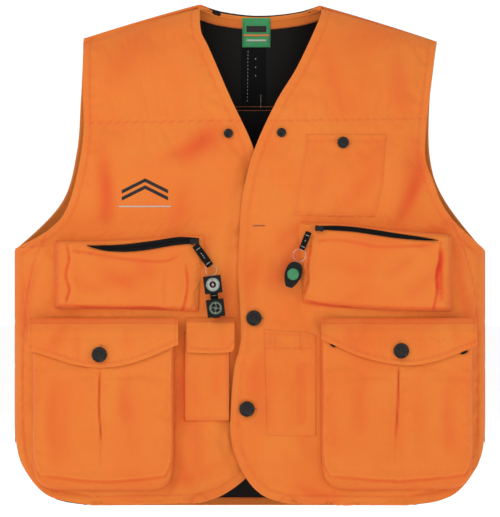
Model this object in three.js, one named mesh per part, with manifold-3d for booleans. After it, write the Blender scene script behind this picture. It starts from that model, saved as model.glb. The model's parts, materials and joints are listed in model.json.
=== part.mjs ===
// Hunting vest, upright as it is worn. Millimetres, +Z up, the front faces -Y, +X is the wearer's left.
// Origin: the top of the shoulders, where the garment hangs on its wearer.
import * as THREE from 'three';
import { mergeVertices } from 'three/addons/utils/BufferGeometryUtils.js';
import Module from 'manifold-3d';

const wasm = await Module();
wasm.setup();

// Body of the vest
const hemDrop = 650;            // shoulder ridge to front hem
const backHemExtra = 8;         // the back hem hangs this much lower
const halfWidth = 309;          // half of the girth laid flat
const sideCentre = -2;          // middle of the two side seams
const frontDepth = 60;          // chest bulge in front of the side seams
const backDepth = 48;           // bulge behind them
const sectionPower = 3.2;       // squareness of the body's horizontal section
const shoulderFall = 230;       // height over which the shoulder rounds down to full depth
const neckCentre = 10;          // middle of the neck opening
const neckHalf = 78;            // half width of the neck at the ridge
const shoulderSlope = 0.27;
const shoulderCurve = 0.0002;
const underarmZ = -317;
const splitZ = -280.7;          // level where the front starts to swing open
const splitGap = 0.6;
const seamGap = 0.3;            // between the front and back at shoulder and side

// Cloth layers
const shellThick = 1.6;
const liningThick = 1.0;
const layerGap = 0.4;
const patchThick = 1.6;
const liningOuter = -(shellThick + layerGap);
const liningInner = liningOuter - liningThick;
const facingOuter = liningInner - layerGap;
const facingThick = 0.8;
const labelOuter = facingOuter - facingThick - layerGap;
const labelThick = 0.8;

// Front closure
const buttonDia = 20;
const buttonThick = 3.6;
const buttonShankDia = 4.4;
const buttonHolePitch = 4.6;
const buttonStandOff = 0.6;     // head above the cloth it closes
const holeClearance = 2.8;      // buttonhole stand-in, radius beyond the button
const holeShift = -2;
const topButton = { x: 3, z: -296 };
const middleButton = { x: 3.2, z: -407 };
const lowerButton = { x: -5.9, z: -525 };
const placketDrop = 6;          // the button band lies this far behind the top front's lining
const placketThick = 1.6;
const placketX = [-40, 11];

// Zip pockets: their bulge, and the zip's two ends
const zipBulge = 8.5;           // face in front of the body's fullest line
const zipFaceY = -frontDepth - zipBulge;
const zipTapeTall = 8;
const zipTapeThick = 1.2;
const zipChainTall = 3.2;
const zipChainThick = 1.1;
const zipRise = 5;              // pocket top above the zip's middle
const stackGap = 0.3;
const sliderThick = 3.9;
const sliderWide = 8;
const sliderLong = 11;
const rightZip = { from: [-74, -307.7], to: [-212.5, -313] };
const leftZip = { from: [87.8, -290.6], to: [241, -306] };
const rightZipOutline = [[-72, -303], [-250, -309.5], [-252, -330], [-250, -393], [-76, -396], [-71, -380]];
const leftZipOutline = [[76, -284.6], [258, -302.5], [256, -394], [160, -390], [74, -379]];
const pocketTabWide = 10;
const leftTabWide = 8;
const tabThick = 1.8;

// Cargo pockets, in the plane of their own front face
const cargoDepth = 17;          // bellows depth in front of the sewing plane
const cargoYaw = 0.082;         // turn of the face towards the side seam, radians
const clothWall = 1.6;
const flapThick = 2;
const flapGap = 0.6;
const flapHingeY = -5.5;
const flapSlopeDrop = 19;
const mouthDrop = 23;           // pocket mouth below the flap's seam
const cargoCorner = 15;
const rightCargo = { x0: -289, x1: -94, body0: -285, body1: -101, top: -408, sides: -450, tip: -470,
  bottom: -613, button: [-195, -454] };
const leftCargo = { x0: 90, x1: 292, body0: 91, body1: 288, top: -408, sides: -446, tip: -468,
  bottom: -612, button: [192, -449] };
const sewBulge = 2.76;          // the body's fullest point stands this far proud of the sewing plane

// Accessory pocket beside the closure
const accessory = { x0: -88, x1: -26, flap0: -84, flap1: -22, top: -407, flapBottom: -451, mouth: -424,
  bottom: -541, faceY: -frontDepth - 4.8, corner: 8 };

// Snaps
const neckSnapDia = 12;
const chestSnapDia = 15;
const snapThick = 2.4;
const snapHoleDia = 4;
const rightNeckSnap = [-30, -167];
const leftNeckSnap = [39, -166];
const chestSnap = [119, -179];

// Gauge strap on the right zip
const rightTab = { length: 28.9, lean: 0.68, toRing: 2.6 };
const ringDia = 16;
const ringWire = 1.6;
const gaugeLean = 0.12;
const gaugeStrap = { wide: 10, thick: 2, end: 70 };
const moduleSize = 23;
const moduleThick = 7;
const moduleChamfer = 5;
const moduleBore = 9.2;         // radius of the dial recess
const moduleRecess = 4.6;
const thermometerDrop = 26.5;   // dial centres below the top of the ring
const compassDrop = 57;
const lensThick = 1.0;
const dialThick = 0.7;
const needleThick = 0.5;
const cardThick = 1.2;
const runGap = 0.35;

// Micro light on the left zip
const leftTab = { length: 21.4, lean: -0.42, toRing: 2.2 };
const lightRingDia = 18;
const lightRingWire = 1.4;
const lightLean = -0.32;
const light = { wide: 22, long: 34, thick: 9.5, wall: 1.4, buttonDia: 15, ledDia: 5, cellDia: 16, cellThick: 1.6 };
const buttonTravel = 0.8;

// Finishes
const look = (color, roughness, metalness = 0) => new THREE.MeshStandardMaterial({ color, roughness, metalness });
const orangeCloth = look(0xf2702a, 0.9);
const blackLining = look(0x14110f, 0.6);
const blackWeb = look(0x17171a, 0.8);
const buttonHorn = look(0x20110c, 0.3);
const blackMetal = look(0x1b1b1d, 0.35, 0.6);
const steel = look(0xb9bcc0, 0.3, 1);
const greenLabel = look(0x3f9a52, 0.8);
const greenPlastic = look(0x2e8f4a, 0.45);
const blackPlastic = look(0x141416, 0.5);
const whiteDial = look(0xe9ebe6, 0.5);
const redNeedle = look(0xc0281c, 0.5);
const clearLens = look(0xdfe8ec, 0.08);

const vest = new THREE.Group();

function merged(geometry) {
  const bare = new THREE.BufferGeometry();
  bare.setAttribute('position', geometry.getAttribute('position').clone());
  if (geometry.index) bare.setIndex(geometry.index.clone());
  return mergeVertices(bare, 1e-4);
}

function solid(geometry) {
  const clean = merged(geometry);
  return new wasm.Manifold(new wasm.Mesh({
    numProp: 3,
    vertProperties: new Float32Array(clean.getAttribute('position').array),
    triVerts: new Uint32Array(clean.index.array),
  }));
}

function geometryOf(manifold) {
  const mesh = manifold.getMesh();
  const geometry = new THREE.BufferGeometry();
  geometry.setAttribute('position', new THREE.BufferAttribute(new Float32Array(mesh.vertProperties), 3));
  geometry.setIndex(new THREE.BufferAttribute(new Uint32Array(mesh.triVerts), 1));
  geometry.computeVertexNormals();
  return geometry;
}

function add(name, shape, material, group = vest) {
  const mesh = new THREE.Mesh(shape.isBufferGeometry ? shape : geometryOf(shape), material);
  mesh.name = name;
  group.add(mesh);
  return mesh;
}

// Height of the shoulder ridge at x
function ridge(x) {
  const beyond = Math.max(0, Math.abs(x - neckCentre) - neckHalf);
  return -shoulderSlope * beyond - shoulderCurve * beyond * beyond;
}

function rise(drop) {
  const left = 1 - Math.min(Math.max(drop / shoulderFall, 0), 1);
  return Math.sqrt(1 - left * left);
}

function sectionShape(u) {
  return (1 - Math.abs(u) ** sectionPower) ** (1 / sectionPower);
}

// y of the body's surface, moved outwards by offset; side is -1 for the front and 1 for the back
function surfaceY(x, z, offset, side) {
  const u = Math.min(Math.max((x - sideCentre) / (halfWidth + offset), -1), 1);
  const up = rise(ridge(x) + offset - z);
  const depth = side < 0 ? frontDepth : backDepth;
  return side * (depth * up + offset * Math.min(1, 3 * up)) * sectionShape(u);
}

// Closed solid of the whole body, moved outwards by offset; every layer of cloth shares its grid
const columns = 18;
const rowDrops = [0, 4, 14, 34, 64, 104, 150, 200, 260, 340, hemDrop + backHemExtra + 4];
function body(offset) {
  const points = [];
  const last = rowDrops.length - 1;
  for (const side of [-1, 1]) {
    rowDrops.forEach((drop, row) => {
      const follow = 1 - THREE.MathUtils.smoothstep(drop, 64, 260);
      for (let column = 0; column <= columns; column++) {
        const u = Math.sin(Math.PI * (column / columns - 0.5));
        const x = sideCentre + u * (halfWidth + offset);
        const z = (ridge(x) + offset) * follow - drop + (row === last ? offset : 0);
        const onEdge = row === 0 || column === 0 || column === columns;
        points.push(x, onEdge ? 0 : surfaceY(x, z, offset, side), z);
      }
    });
  }
  const wide = columns + 1;
  const back = wide * rowDrops.length;
  const faces = [];
  for (let row = 0; row < last; row++) {
    for (let column = 0; column < columns; column++) {
      const a = row * wide + column;
      faces.push(a, a + wide, a + wide + 1, a, a + wide + 1, a + 1);
      const b = back + a;
      faces.push(b, b + wide + 1, b + wide, b, b + 1, b + wide + 1);
    }
  }
  for (let column = 0; column < columns; column++) {
    const f = last * wide + column;
    const b = back + f;
    if (column > 0) faces.push(f, b, b + 1);
    if (column === 0) faces.push(f, b + 1, f + 1);
    else if (column < columns - 1) faces.push(f, b + 1, f + 1);
  }
  const geometry = new THREE.BufferGeometry();
  geometry.setAttribute('position', new THREE.Float32BufferAttribute(points, 3));
  geometry.setIndex(faces);
  return solid(geometry);
}

const layer = (inner, outer) => body(outer).subtract(body(inner));

// Solid of an outline drawn in x and z, between two depths
function prism(points, yFront, yBack, segments = 6) {
  const shape = points instanceof THREE.Shape ? points
    : new THREE.Shape(points.map(([x, z]) => new THREE.Vector2(x, z)));
  const geometry = new THREE.ExtrudeGeometry(shape, {
    depth: yBack - yFront, bevelEnabled: false, curveSegments: segments });
  geometry.rotateX(Math.PI / 2);
  geometry.translate(0, yBack, 0);
  return solid(geometry);
}

function block(x0, x1, y0, y1, z0, z1) {
  const geometry = new THREE.BoxGeometry(x1 - x0, y1 - y0, z1 - z0);
  geometry.translate((x0 + x1) / 2, (y0 + y1) / 2, (z0 + z1) / 2);
  return geometry;
}

// Lathe profile [radius, height], turned to point along -Y from the plane y
function turned(profile, x, y, z, segments = 20) {
  const geometry = new THREE.LatheGeometry(profile.map(([r, h]) => new THREE.Vector2(r, h)), segments);
  geometry.rotateX(Math.PI);
  geometry.translate(x, y, z);
  return merged(geometry);
}

function smoothLine(points, count) {
  const curve = new THREE.SplineCurve(points.map(([x, z]) => new THREE.Vector2(x, z)));
  return curve.getPoints(count).map((p) => [p.x, p.y]);
}

// Outlines of the three panels
const skyZ = 25;
const seamRight = sideCentre - halfWidth;
const seamLeft = sideCentre + halfWidth;
const farX = halfWidth + 31;
const farY = frontDepth + 50;
const hemZ = -hemDrop;
const rightNeckLine = smoothLine([[-68, 0], [-66, -32], [-55, -56], [-27, -121], [-2, -174], [12, -215]], 10);
const leftNeckLine = smoothLine([[92, 0], [88, -18], [60, -79], [32, -126], [3, -190], [-12, -250], [-16, -302]], 14);
const leftFrontEdge = smoothLine([[-18.5, -347], [-14, -429], [-23, -476], [-27.6, hemZ + 110], [-24, hemZ + 73],
  [-7, hemZ + 35], [16, hemZ + 12], [48, hemZ + 2]], 14);
const rightFrontEdge = smoothLine([[12, hemZ + 60], [-7, hemZ + 35], [-38, hemZ + 13], [-67, hemZ + 3]], 5);
const rightArmhole = smoothLine([[-221, -40], [-220, -110], [-220, -182], [-238, -259], [-264, -292],
  [seamRight - 1, underarmZ]], 10);
const leftArmhole = smoothLine([[244, -44], [238, -80], [226, -183], [236, -228], [258, -274],
  [seamLeft + 1, underarmZ - 2]], 10);
const backArmholeRight = smoothLine([[-221, -40], [-226, -120], [-232, -190], [-252, -256],
  [seamRight - 1, underarmZ]], 8);
const backArmholeLeft = smoothLine([[244, -44], [236, -120], [237, -198], [256, -252],
  [seamLeft + 1, underarmZ - 2]], 8);
const backNeckLine = smoothLine([[-68, 0], [-40, -9], [10, -14], [62, -9], [92, 0]], 8);

function sideAndHem(sign, hem, innerX) {
  const seam = sideCentre + sign * halfWidth;
  const corner = smoothLine([[seam + sign * 2, hemZ + 90], [seam - sign * 12, hemZ + 50],
    [seam - sign * 45, hem + 12], [seam - sign * 100, hem]], 6);
  return [[sign * farX, underarmZ - 3], [sign * farX, hemZ + 90], ...corner, [innerX, hem]];
}

const leftOutline = [[92, skyZ], ...leftNeckLine, ...leftFrontEdge, [70, hemZ],
  ...sideAndHem(1, hemZ, 120).reverse(), ...leftArmhole.slice().reverse(), [244, skyZ]];
const rightOutline = [[-68, skyZ], [-221, skyZ], ...rightArmhole, ...sideAndHem(-1, hemZ, -90),
  ...rightFrontEdge.slice().reverse(), [12, -300], ...rightNeckLine.slice().reverse()];
const backHem = hemZ - backHemExtra;
const backOutline = [...backNeckLine, [92, skyZ], [244, skyZ], ...backArmholeLeft,
  ...sideAndHem(1, backHem, 0).slice(0, -1), ...sideAndHem(-1, backHem, 0).slice(0, -1).reverse(),
  ...backArmholeRight.slice().reverse(), [-221, skyZ], [-68, skyZ]];

const leftPrism = prism(leftOutline, -farY, -seamGap / 2);
const rightPrism = prism(rightOutline, -farY, -seamGap / 2)
  .subtract(prism(leftOutline.map(([x, z]) => [x - splitGap, z]), -farY, 0));
const backPrism = prism(backOutline, seamGap / 2, farY);
const upper = solid(block(-farX, farX, -farY, farY, splitZ + splitGap / 2, skyZ));
const lower = solid(block(-farX, farX, -farY, farY, 2 * hemZ, splitZ - splitGap / 2));
const shellLayer = layer(-shellThick, 0);
const liningLayer = layer(liningInner, liningOuter);

// Back panel, its lining, the neck facing with its label, and the rear game pouch
add('back_shell', shellLayer.intersect(backPrism), orangeCloth);
add('back_lining', liningLayer.intersect(backPrism), blackLining);
const facingOutline = [...backNeckLine.slice(1, -1),
  ...backNeckLine.slice(1, -1).map(([x, z]) => [x, z - 12]).reverse()];
add('neck_facing', layer(facingOuter - facingThick, facingOuter).intersect(prism(facingOutline, seamGap / 2, farY)),
  orangeCloth);
add('neck_label', layer(labelOuter - labelThick, labelOuter)
  .intersect(prism([[-12, -16], [-12, -50], [25, -50], [25, -16]], seamGap / 2, farY)), greenLabel);
const pouchInset = 41;          // from the side seams
const pouchTop = -420;
const pouchOutline = [[seamRight + pouchInset, pouchTop], [seamRight + pouchInset, hemZ + 50],
  [seamRight + pouchInset + 30, hemZ + 14], [seamLeft - pouchInset - 30, hemZ + 14],
  [seamLeft - pouchInset, hemZ + 50], [seamLeft - pouchInset, pouchTop]];
add('game_pouch', layer(layerGap, layerGap + patchThick).intersect(prism(pouchOutline, seamGap / 2, farY)),
  orangeCloth);

// Upper fronts, fixed to the shoulders, with their linings
add('right_front_upper', shellLayer.intersect(rightPrism).intersect(upper), orangeCloth);
add('right_front_upper_lining', liningLayer.intersect(rightPrism).intersect(upper), blackLining);
add('left_front_upper', shellLayer.intersect(leftPrism).intersect(upper), orangeCloth);
add('left_front_upper_lining', liningLayer.intersect(leftPrism).intersect(upper), blackLining);
const chestOutline = [[72, -168], [54, -273], [160, -275.5], [168, -249], [176, -168]];
add('chest_pocket', layer(layerGap, layerGap + patchThick).intersect(prism(chestOutline, -farY, -seamGap)),
  orangeCloth);

// Lower fronts; the left one closes over the button heads
const holeRadius = buttonDia / 2 + holeClearance;
let closingHoles = null;
for (const spot of [middleButton, lowerButton]) {
  const rod = new THREE.CylinderGeometry(holeRadius, holeRadius, farY, 24);
  rod.translate(spot.x + holeShift, -farY / 2, spot.z);
  closingHoles = closingHoles ? closingHoles.add(solid(rod)) : solid(rod);
}
add('left_front_shell', shellLayer.intersect(leftPrism).intersect(lower).subtract(closingHoles), orangeCloth);
add('left_front_lining', liningLayer.intersect(leftPrism).intersect(lower).subtract(closingHoles), blackLining);
add('right_front_shell', shellLayer.intersect(rightPrism).intersect(lower), orangeCloth);
add('right_front_lining', liningLayer.intersect(rightPrism).intersect(lower), blackLining);

// Button band of the right front, stepped back under the left front
const bandOuter = -frontDepth - liningInner + layerGap;
const bandInner = bandOuter + placketDrop;
const band = new THREE.Shape([[placketX[0], bandOuter], [placketX[0], bandOuter + placketThick],
  [-24, bandOuter + placketThick], [-13, bandInner], [placketX[1], bandInner],
  [placketX[1], bandInner - placketThick], [-12, bandInner - placketThick], [-23, bandOuter]]
  .map(([x, y]) => new THREE.Vector2(x, y)));
const bandTop = splitZ - 4.3;
const bandBottom = hemZ + 45;
const bandGeometry = new THREE.ExtrudeGeometry(band, { depth: bandTop - bandBottom, bevelEnabled: false });
bandGeometry.translate(0, 0, bandBottom);
add('right_placket', merged(bandGeometry), orangeCloth);

// Four-hole button on a thread shank; y is the plane under its head, shank its length behind that
function button(name, x, y, z, shank, group = vest) {
  const r = buttonDia / 2;
  const t = buttonThick;
  const head = turned([[0, 0], [r - 1.6, 0], [r, 1.2], [r, t - 0.8], [r - 0.8, t], [r - 2.2, t],
    [r - 3.2, t - 1.1], [0, t - 1.1]], x, y, z);
  const thread = new THREE.CylinderGeometry(buttonShankDia / 2, buttonShankDia / 2, shank + 1, 8);
  thread.translate(x, y + shank / 2 - 0.5, z);
  let shape = solid(head);
  for (const [dx, dz] of [[-1, -1], [-1, 1], [1, -1], [1, 1]]) {
    const drill = new THREE.CylinderGeometry(0.9, 0.9, 4, 6);
    drill.translate(x + dx * buttonHolePitch / 2, y - t + 0.9, z + dz * buttonHolePitch / 2);
    shape = shape.subtract(solid(drill));
  }
  add(name, shape.add(solid(thread)), buttonHorn, group);
}
const bandFace = bandInner - placketThick - stackGap;
const closedFace = -frontDepth - buttonStandOff;
button('front_button_top', topButton.x, bandFace - 0.2, topButton.z, 0.2);
button('front_button_middle', middleButton.x, closedFace, middleButton.z, bandFace - closedFace);
button('front_button_lower', lowerButton.x, closedFace, lowerButton.z, bandFace - closedFace);

// Snaps
function snap(name, [x, z], diameter, lift, hole) {
  const r = diameter / 2;
  const t = snapThick;
  const y = surfaceY(x, z, 0, -1) - lift - 0.8;
  const profile = hole
    ? [[hole / 2, 0], [r - 0.4, 0], [r, 0.5], [r, t - 0.7], [r - 0.7, t], [hole / 2 + 0.6, t], [hole / 2, t - 0.6],
      [hole / 2, 0]]
    : [[0, 0], [r - 0.4, 0], [r, 0.5], [r, t - 1.2], [r - 1.2, t - 0.3], [r - 2.8, t], [0, t]];
  add(name, turned(profile, x, y, z), blackMetal);
}
snap('right_neck_snap', rightNeckSnap, neckSnapDia, 0, snapHoleDia);
snap('left_neck_snap', leftNeckSnap, neckSnapDia, 0, snapHoleDia);
snap('chest_pocket_snap', chestSnap, chestSnapDia, layerGap + patchThick, 0);

// Zip pockets: a filled pouch with the zip along its top edge
const overBody = body(0.8);
function zipPocket(side, outline, zip) {
  const pouch = prism(outline, zipFaceY, -20).subtract(overBody);
  add(`${side}_zip_pocket`, pouch, orangeCloth);
  const run = Math.hypot(zip.to[0] - zip.from[0], zip.to[1] - zip.from[1]);
  const slope = Math.atan((zip.to[1] - zip.from[1]) / (zip.to[0] - zip.from[0]));
  const row = new THREE.Group();
  row.position.set((zip.from[0] + zip.to[0]) / 2, 0, (zip.from[1] + zip.to[1]) / 2);
  row.rotation.y = -slope;
  vest.add(row);
  const tapeBack = zipFaceY - stackGap;
  const chainBack = tapeBack - zipTapeThick - stackGap;
  const half = run / 2 + sliderLong / 2;
  add(`${side}_zip_tape`, block(-half - 4, half + 4, tapeBack - zipTapeThick, tapeBack,
    -zipTapeTall / 2, zipTapeTall / 2), blackWeb, row);
  add(`${side}_zip_chain`, block(-half, half, chainBack - zipChainThick, chainBack,
    -zipChainTall / 2, zipChainTall / 2), blackPlastic, row);
}
zipPocket('right', rightZipOutline, rightZip);
zipPocket('left', leftZipOutline, leftZip);

const sliderBack = zipFaceY - zipTapeThick - zipChainThick - 3 * stackGap;
const sliderFace = sliderBack - sliderThick;
const tabY = sliderBack - sliderThick / 2;

// Slider: a waisted body with a bridge, drawn along its run
function slider(side, zip) {
  const w = sliderWide / 2;
  const l = sliderLong / 2;
  const plan = [[-l, -w + 1], [-l, w - 1], [-l + 1.5, w], [0, w - 1], [l - 1.5, w], [l, w - 1], [l, -w + 1],
    [l - 1.5, -w], [0, -w + 1], [-l + 1.5, -w]];
  const slope = Math.atan((zip.to[1] - zip.from[1]) / (zip.to[0] - zip.from[0]));
  const holder = new THREE.Group();
  holder.position.set(zip.from[0], 0, zip.from[1]);
  holder.rotation.y = -slope;
  vest.add(holder);
  const plate = prism(plan, sliderBack - 2.2, sliderBack);
  const bridge = solid(block(-l + 2, l - 2, sliderFace, sliderBack - 2, -1.2, 1.2));
  add(`${side}_zip_slider`, plate.add(bridge), blackMetal, holder);
}
slider('right', rightZip);
slider('left', leftZip);

// A group whose pieces hang along -Z from its origin, leaning towards +X by lean
function hanging(x, y, z, lean) {
  const group = new THREE.Group();
  group.position.set(x, y, z);
  group.rotation.y = -lean;
  vest.add(group);
  return group;
}

function hangEnd(from, lean, length) {
  return [from[0] + Math.sin(lean) * length, from[1] - Math.cos(lean) * length];
}

function roundedStrip(width, top, bottom, y0, y1) {
  const w = width / 2;
  const shape = new THREE.Shape();
  shape.moveTo(-w, top);
  shape.lineTo(-w, bottom + 2);
  shape.quadraticCurveTo(-w, bottom, -w + 2, bottom);
  shape.lineTo(w - 2, bottom);
  shape.quadraticCurveTo(w, bottom, w, bottom + 2);
  shape.lineTo(w, top);
  return prism(shape, y0, y1, 3);
}

function torus(diameter, wire) {
  const geometry = new THREE.TorusGeometry((diameter - wire) / 2, wire / 2, 6, 20);
  geometry.rotateX(Math.PI / 2);
  return merged(geometry);
}

// Top of a leaning tab, clear of the slider it hangs from
const tabHead = (width, lean) => -0.6 - (width / 2) * Math.sin(Math.abs(lean));

// Right pull tab, split ring and gauge strap
const rightTabTop = [rightZip.from[0] + 1, rightZip.from[1] - sliderWide / 2 - 0.8];
const rightTabGroup = hanging(rightTabTop[0], tabY, rightTabTop[1], rightTab.lean);
add('right_pull_tab', roundedStrip(pocketTabWide, tabHead(pocketTabWide, rightTab.lean), -rightTab.length, -tabThick / 2, tabThick / 2), blackWeb,
  rightTabGroup);
const ringTop = hangEnd(rightTabTop, rightTab.lean, rightTab.length + rightTab.toRing);
const gaugeGroup = hanging(ringTop[0], tabY, ringTop[1], gaugeLean);
const splitRing = torus(ringDia, ringWire);
splitRing.translate(0, 0, -ringDia / 2);
add('split_ring', splitRing, steel, gaugeGroup);
const strapTop = -ringDia - 0.4;
add('gauge_strap', roundedStrip(gaugeStrap.wide, strapTop, -gaugeStrap.end, -gaugeStrap.thick / 2,
  gaugeStrap.thick / 2), blackWeb, gaugeGroup);

function moduleCase(name, drop, peg, group) {
  const h = moduleSize / 2;
  const c = moduleChamfer;
  const plan = [[-h, -h + c], [-h, h - c], [-h + c, h], [h - c, h], [h, h - c], [h, -h + c], [h - c, -h], [-h + c, -h]];
  const back = -gaugeStrap.thick / 2 - stackGap;
  const shape = prism(plan.map(([x, z]) => [x, z - drop]), back - moduleThick, back);
  const bore = new THREE.CylinderGeometry(moduleBore, moduleBore, 2 * moduleRecess, 24);
  bore.translate(0, back - moduleThick, -drop);
  const pin = new THREE.CylinderGeometry(peg, peg, 2, 10);
  pin.translate(0, back - moduleThick + moduleRecess - 0.5, -drop);
  add(name, shape.subtract(solid(bore)).add(solid(pin)), blackPlastic, group);
  return back - moduleThick + moduleRecess;
}

function disc(radius, back, thick, drop, hole, segments = 20) {
  const profile = hole
    ? [[hole, 0], [radius, 0], [radius, thick], [hole, thick], [hole, 0]]
    : [[0, 0], [radius, 0], [radius, thick], [0, thick]];
  return turned(profile, 0, back, -drop, segments);
}

const pegRadius = 0.8;
const dialFloor = moduleCase('thermometer_case', thermometerDrop, pegRadius, gaugeGroup);
const dialBack = dialFloor - stackGap;
add('thermometer_dial', disc(moduleBore - runGap, dialBack, dialThick, thermometerDrop, pegRadius + runGap), whiteDial,
  gaugeGroup);
const needleBack = dialFloor - 1.5 - stackGap;
const needlePlan = [[-0.9, -3.2], [-1.1, 0], [0, 7.4], [1.1, 0], [0.9, -3.2]];
add('thermometer_needle', prism(needlePlan.map(([x, z]) => [x, z - thermometerDrop]), needleBack - needleThick,
  needleBack), redNeedle, gaugeGroup);
const lensBack = dialFloor - moduleRecess + lensThick;
add('thermometer_lens', disc(moduleBore - runGap, lensBack, lensThick, thermometerDrop, 0), clearLens, gaugeGroup);

moduleCase('compass_case', compassDrop, pegRadius, gaugeGroup);
const cardBack = dialFloor - 1.5 - stackGap;
add('compass_card', disc(moduleBore - 0.8, cardBack, cardThick, compassDrop, 0), blackPlastic, gaugeGroup);
add('compass_lens', disc(moduleBore - runGap, lensBack, lensThick, compassDrop, 0), clearLens, gaugeGroup);

// Left pull tab, wire ring and micro light
const leftTabTop = [leftZip.from[0] - sliderLong / 2 - 8, leftZip.from[1] - sliderWide / 2 - 0.8];
const leftTabGroup = hanging(leftTabTop[0], tabY, leftTabTop[1], leftTab.lean);
add('left_pull_tab', roundedStrip(leftTabWide, tabHead(leftTabWide, leftTab.lean), -leftTab.length, -tabThick / 2, tabThick / 2), blackWeb,
  leftTabGroup);
const lightTop = hangEnd(leftTabTop, leftTab.lean, leftTab.length + leftTab.toRing);
const lightGroup = hanging(lightTop[0], tabY, lightTop[1], lightLean);
const lightRing = torus(lightRingDia, lightRingWire);
lightRing.translate(0, 0, -lightRingDia / 2);
add('light_ring', lightRing, steel, lightGroup);

const lightNeck = -lightRingDia - 0.5;
const lightCentre = lightNeck - light.long * 0.48;
function lightPlan(inset) {
  const w = light.wide / 2 - inset;
  const top = lightNeck - inset;
  const tip = lightNeck - light.long + inset;
  const shape = new THREE.Shape();
  shape.moveTo(-3 + inset / 2, top);
  shape.quadraticCurveTo(-w, top - 2, -w, lightCentre);
  shape.quadraticCurveTo(-w + 1, lightCentre - 9, -4, tip);
  shape.lineTo(4, tip);
  shape.quadraticCurveTo(w - 1, lightCentre - 9, w, lightCentre);
  shape.quadraticCurveTo(w, top - 2, 3 - inset / 2, top);
  return shape;
}
const lightBack = light.thick / 2;
const hollow = prism(lightPlan(light.wall), -light.thick / 2 + light.wall, light.thick / 2 - light.wall, 4);
const ledBore = new THREE.CylinderGeometry(light.ledDia / 2 + 0.2, light.ledDia / 2 + 0.2, 8, 16);
ledBore.rotateX(Math.PI / 2);
ledBore.translate(0, 0, lightNeck - light.long + 2);
const buttonBore = new THREE.CylinderGeometry(light.buttonDia / 2 + runGap, light.buttonDia / 2 + runGap, 6, 20);
buttonBore.translate(0, -light.thick / 2, lightCentre);
const lightShape = prism(lightPlan(0), -light.thick / 2, lightBack, 4).subtract(hollow).subtract(solid(ledBore));
add('light_back', lightShape.intersect(solid(block(-30, 30, stackGap / 2, 20, -90, 0))), blackPlastic, lightGroup);
add('light_front', lightShape.subtract(solid(buttonBore))
  .intersect(solid(block(-30, 30, -20, -stackGap / 2, -90, 0))), blackPlastic, lightGroup);
const domeBack = -light.thick / 2 + light.wall + 0.2;
add('light_button', turned([[0, 0], [light.buttonDia / 2, 0], [light.buttonDia / 2, light.wall + 1],
  [light.buttonDia / 2 - 1.6, light.wall + 2.2], [3, light.wall + 2.8], [0, light.wall + 2.8]],
0, domeBack, lightCentre, 20), greenPlastic, lightGroup);
const led = new THREE.CylinderGeometry(light.ledDia / 2, light.ledDia / 2, 7, 16);
led.rotateX(Math.PI / 2);
led.translate(0, 0, lightNeck - light.long + 2);
add('light_bulb', led, clearLens, lightGroup);
[0, 1].forEach((index) => {
  const back = lightBack - light.wall - 0.2 - index * (light.cellThick + 0.3);
  add(`light_cell_${index + 1}`, disc(light.cellDia / 2, back, light.cellThick, -lightCentre, 0), steel, lightGroup);
});

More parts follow.
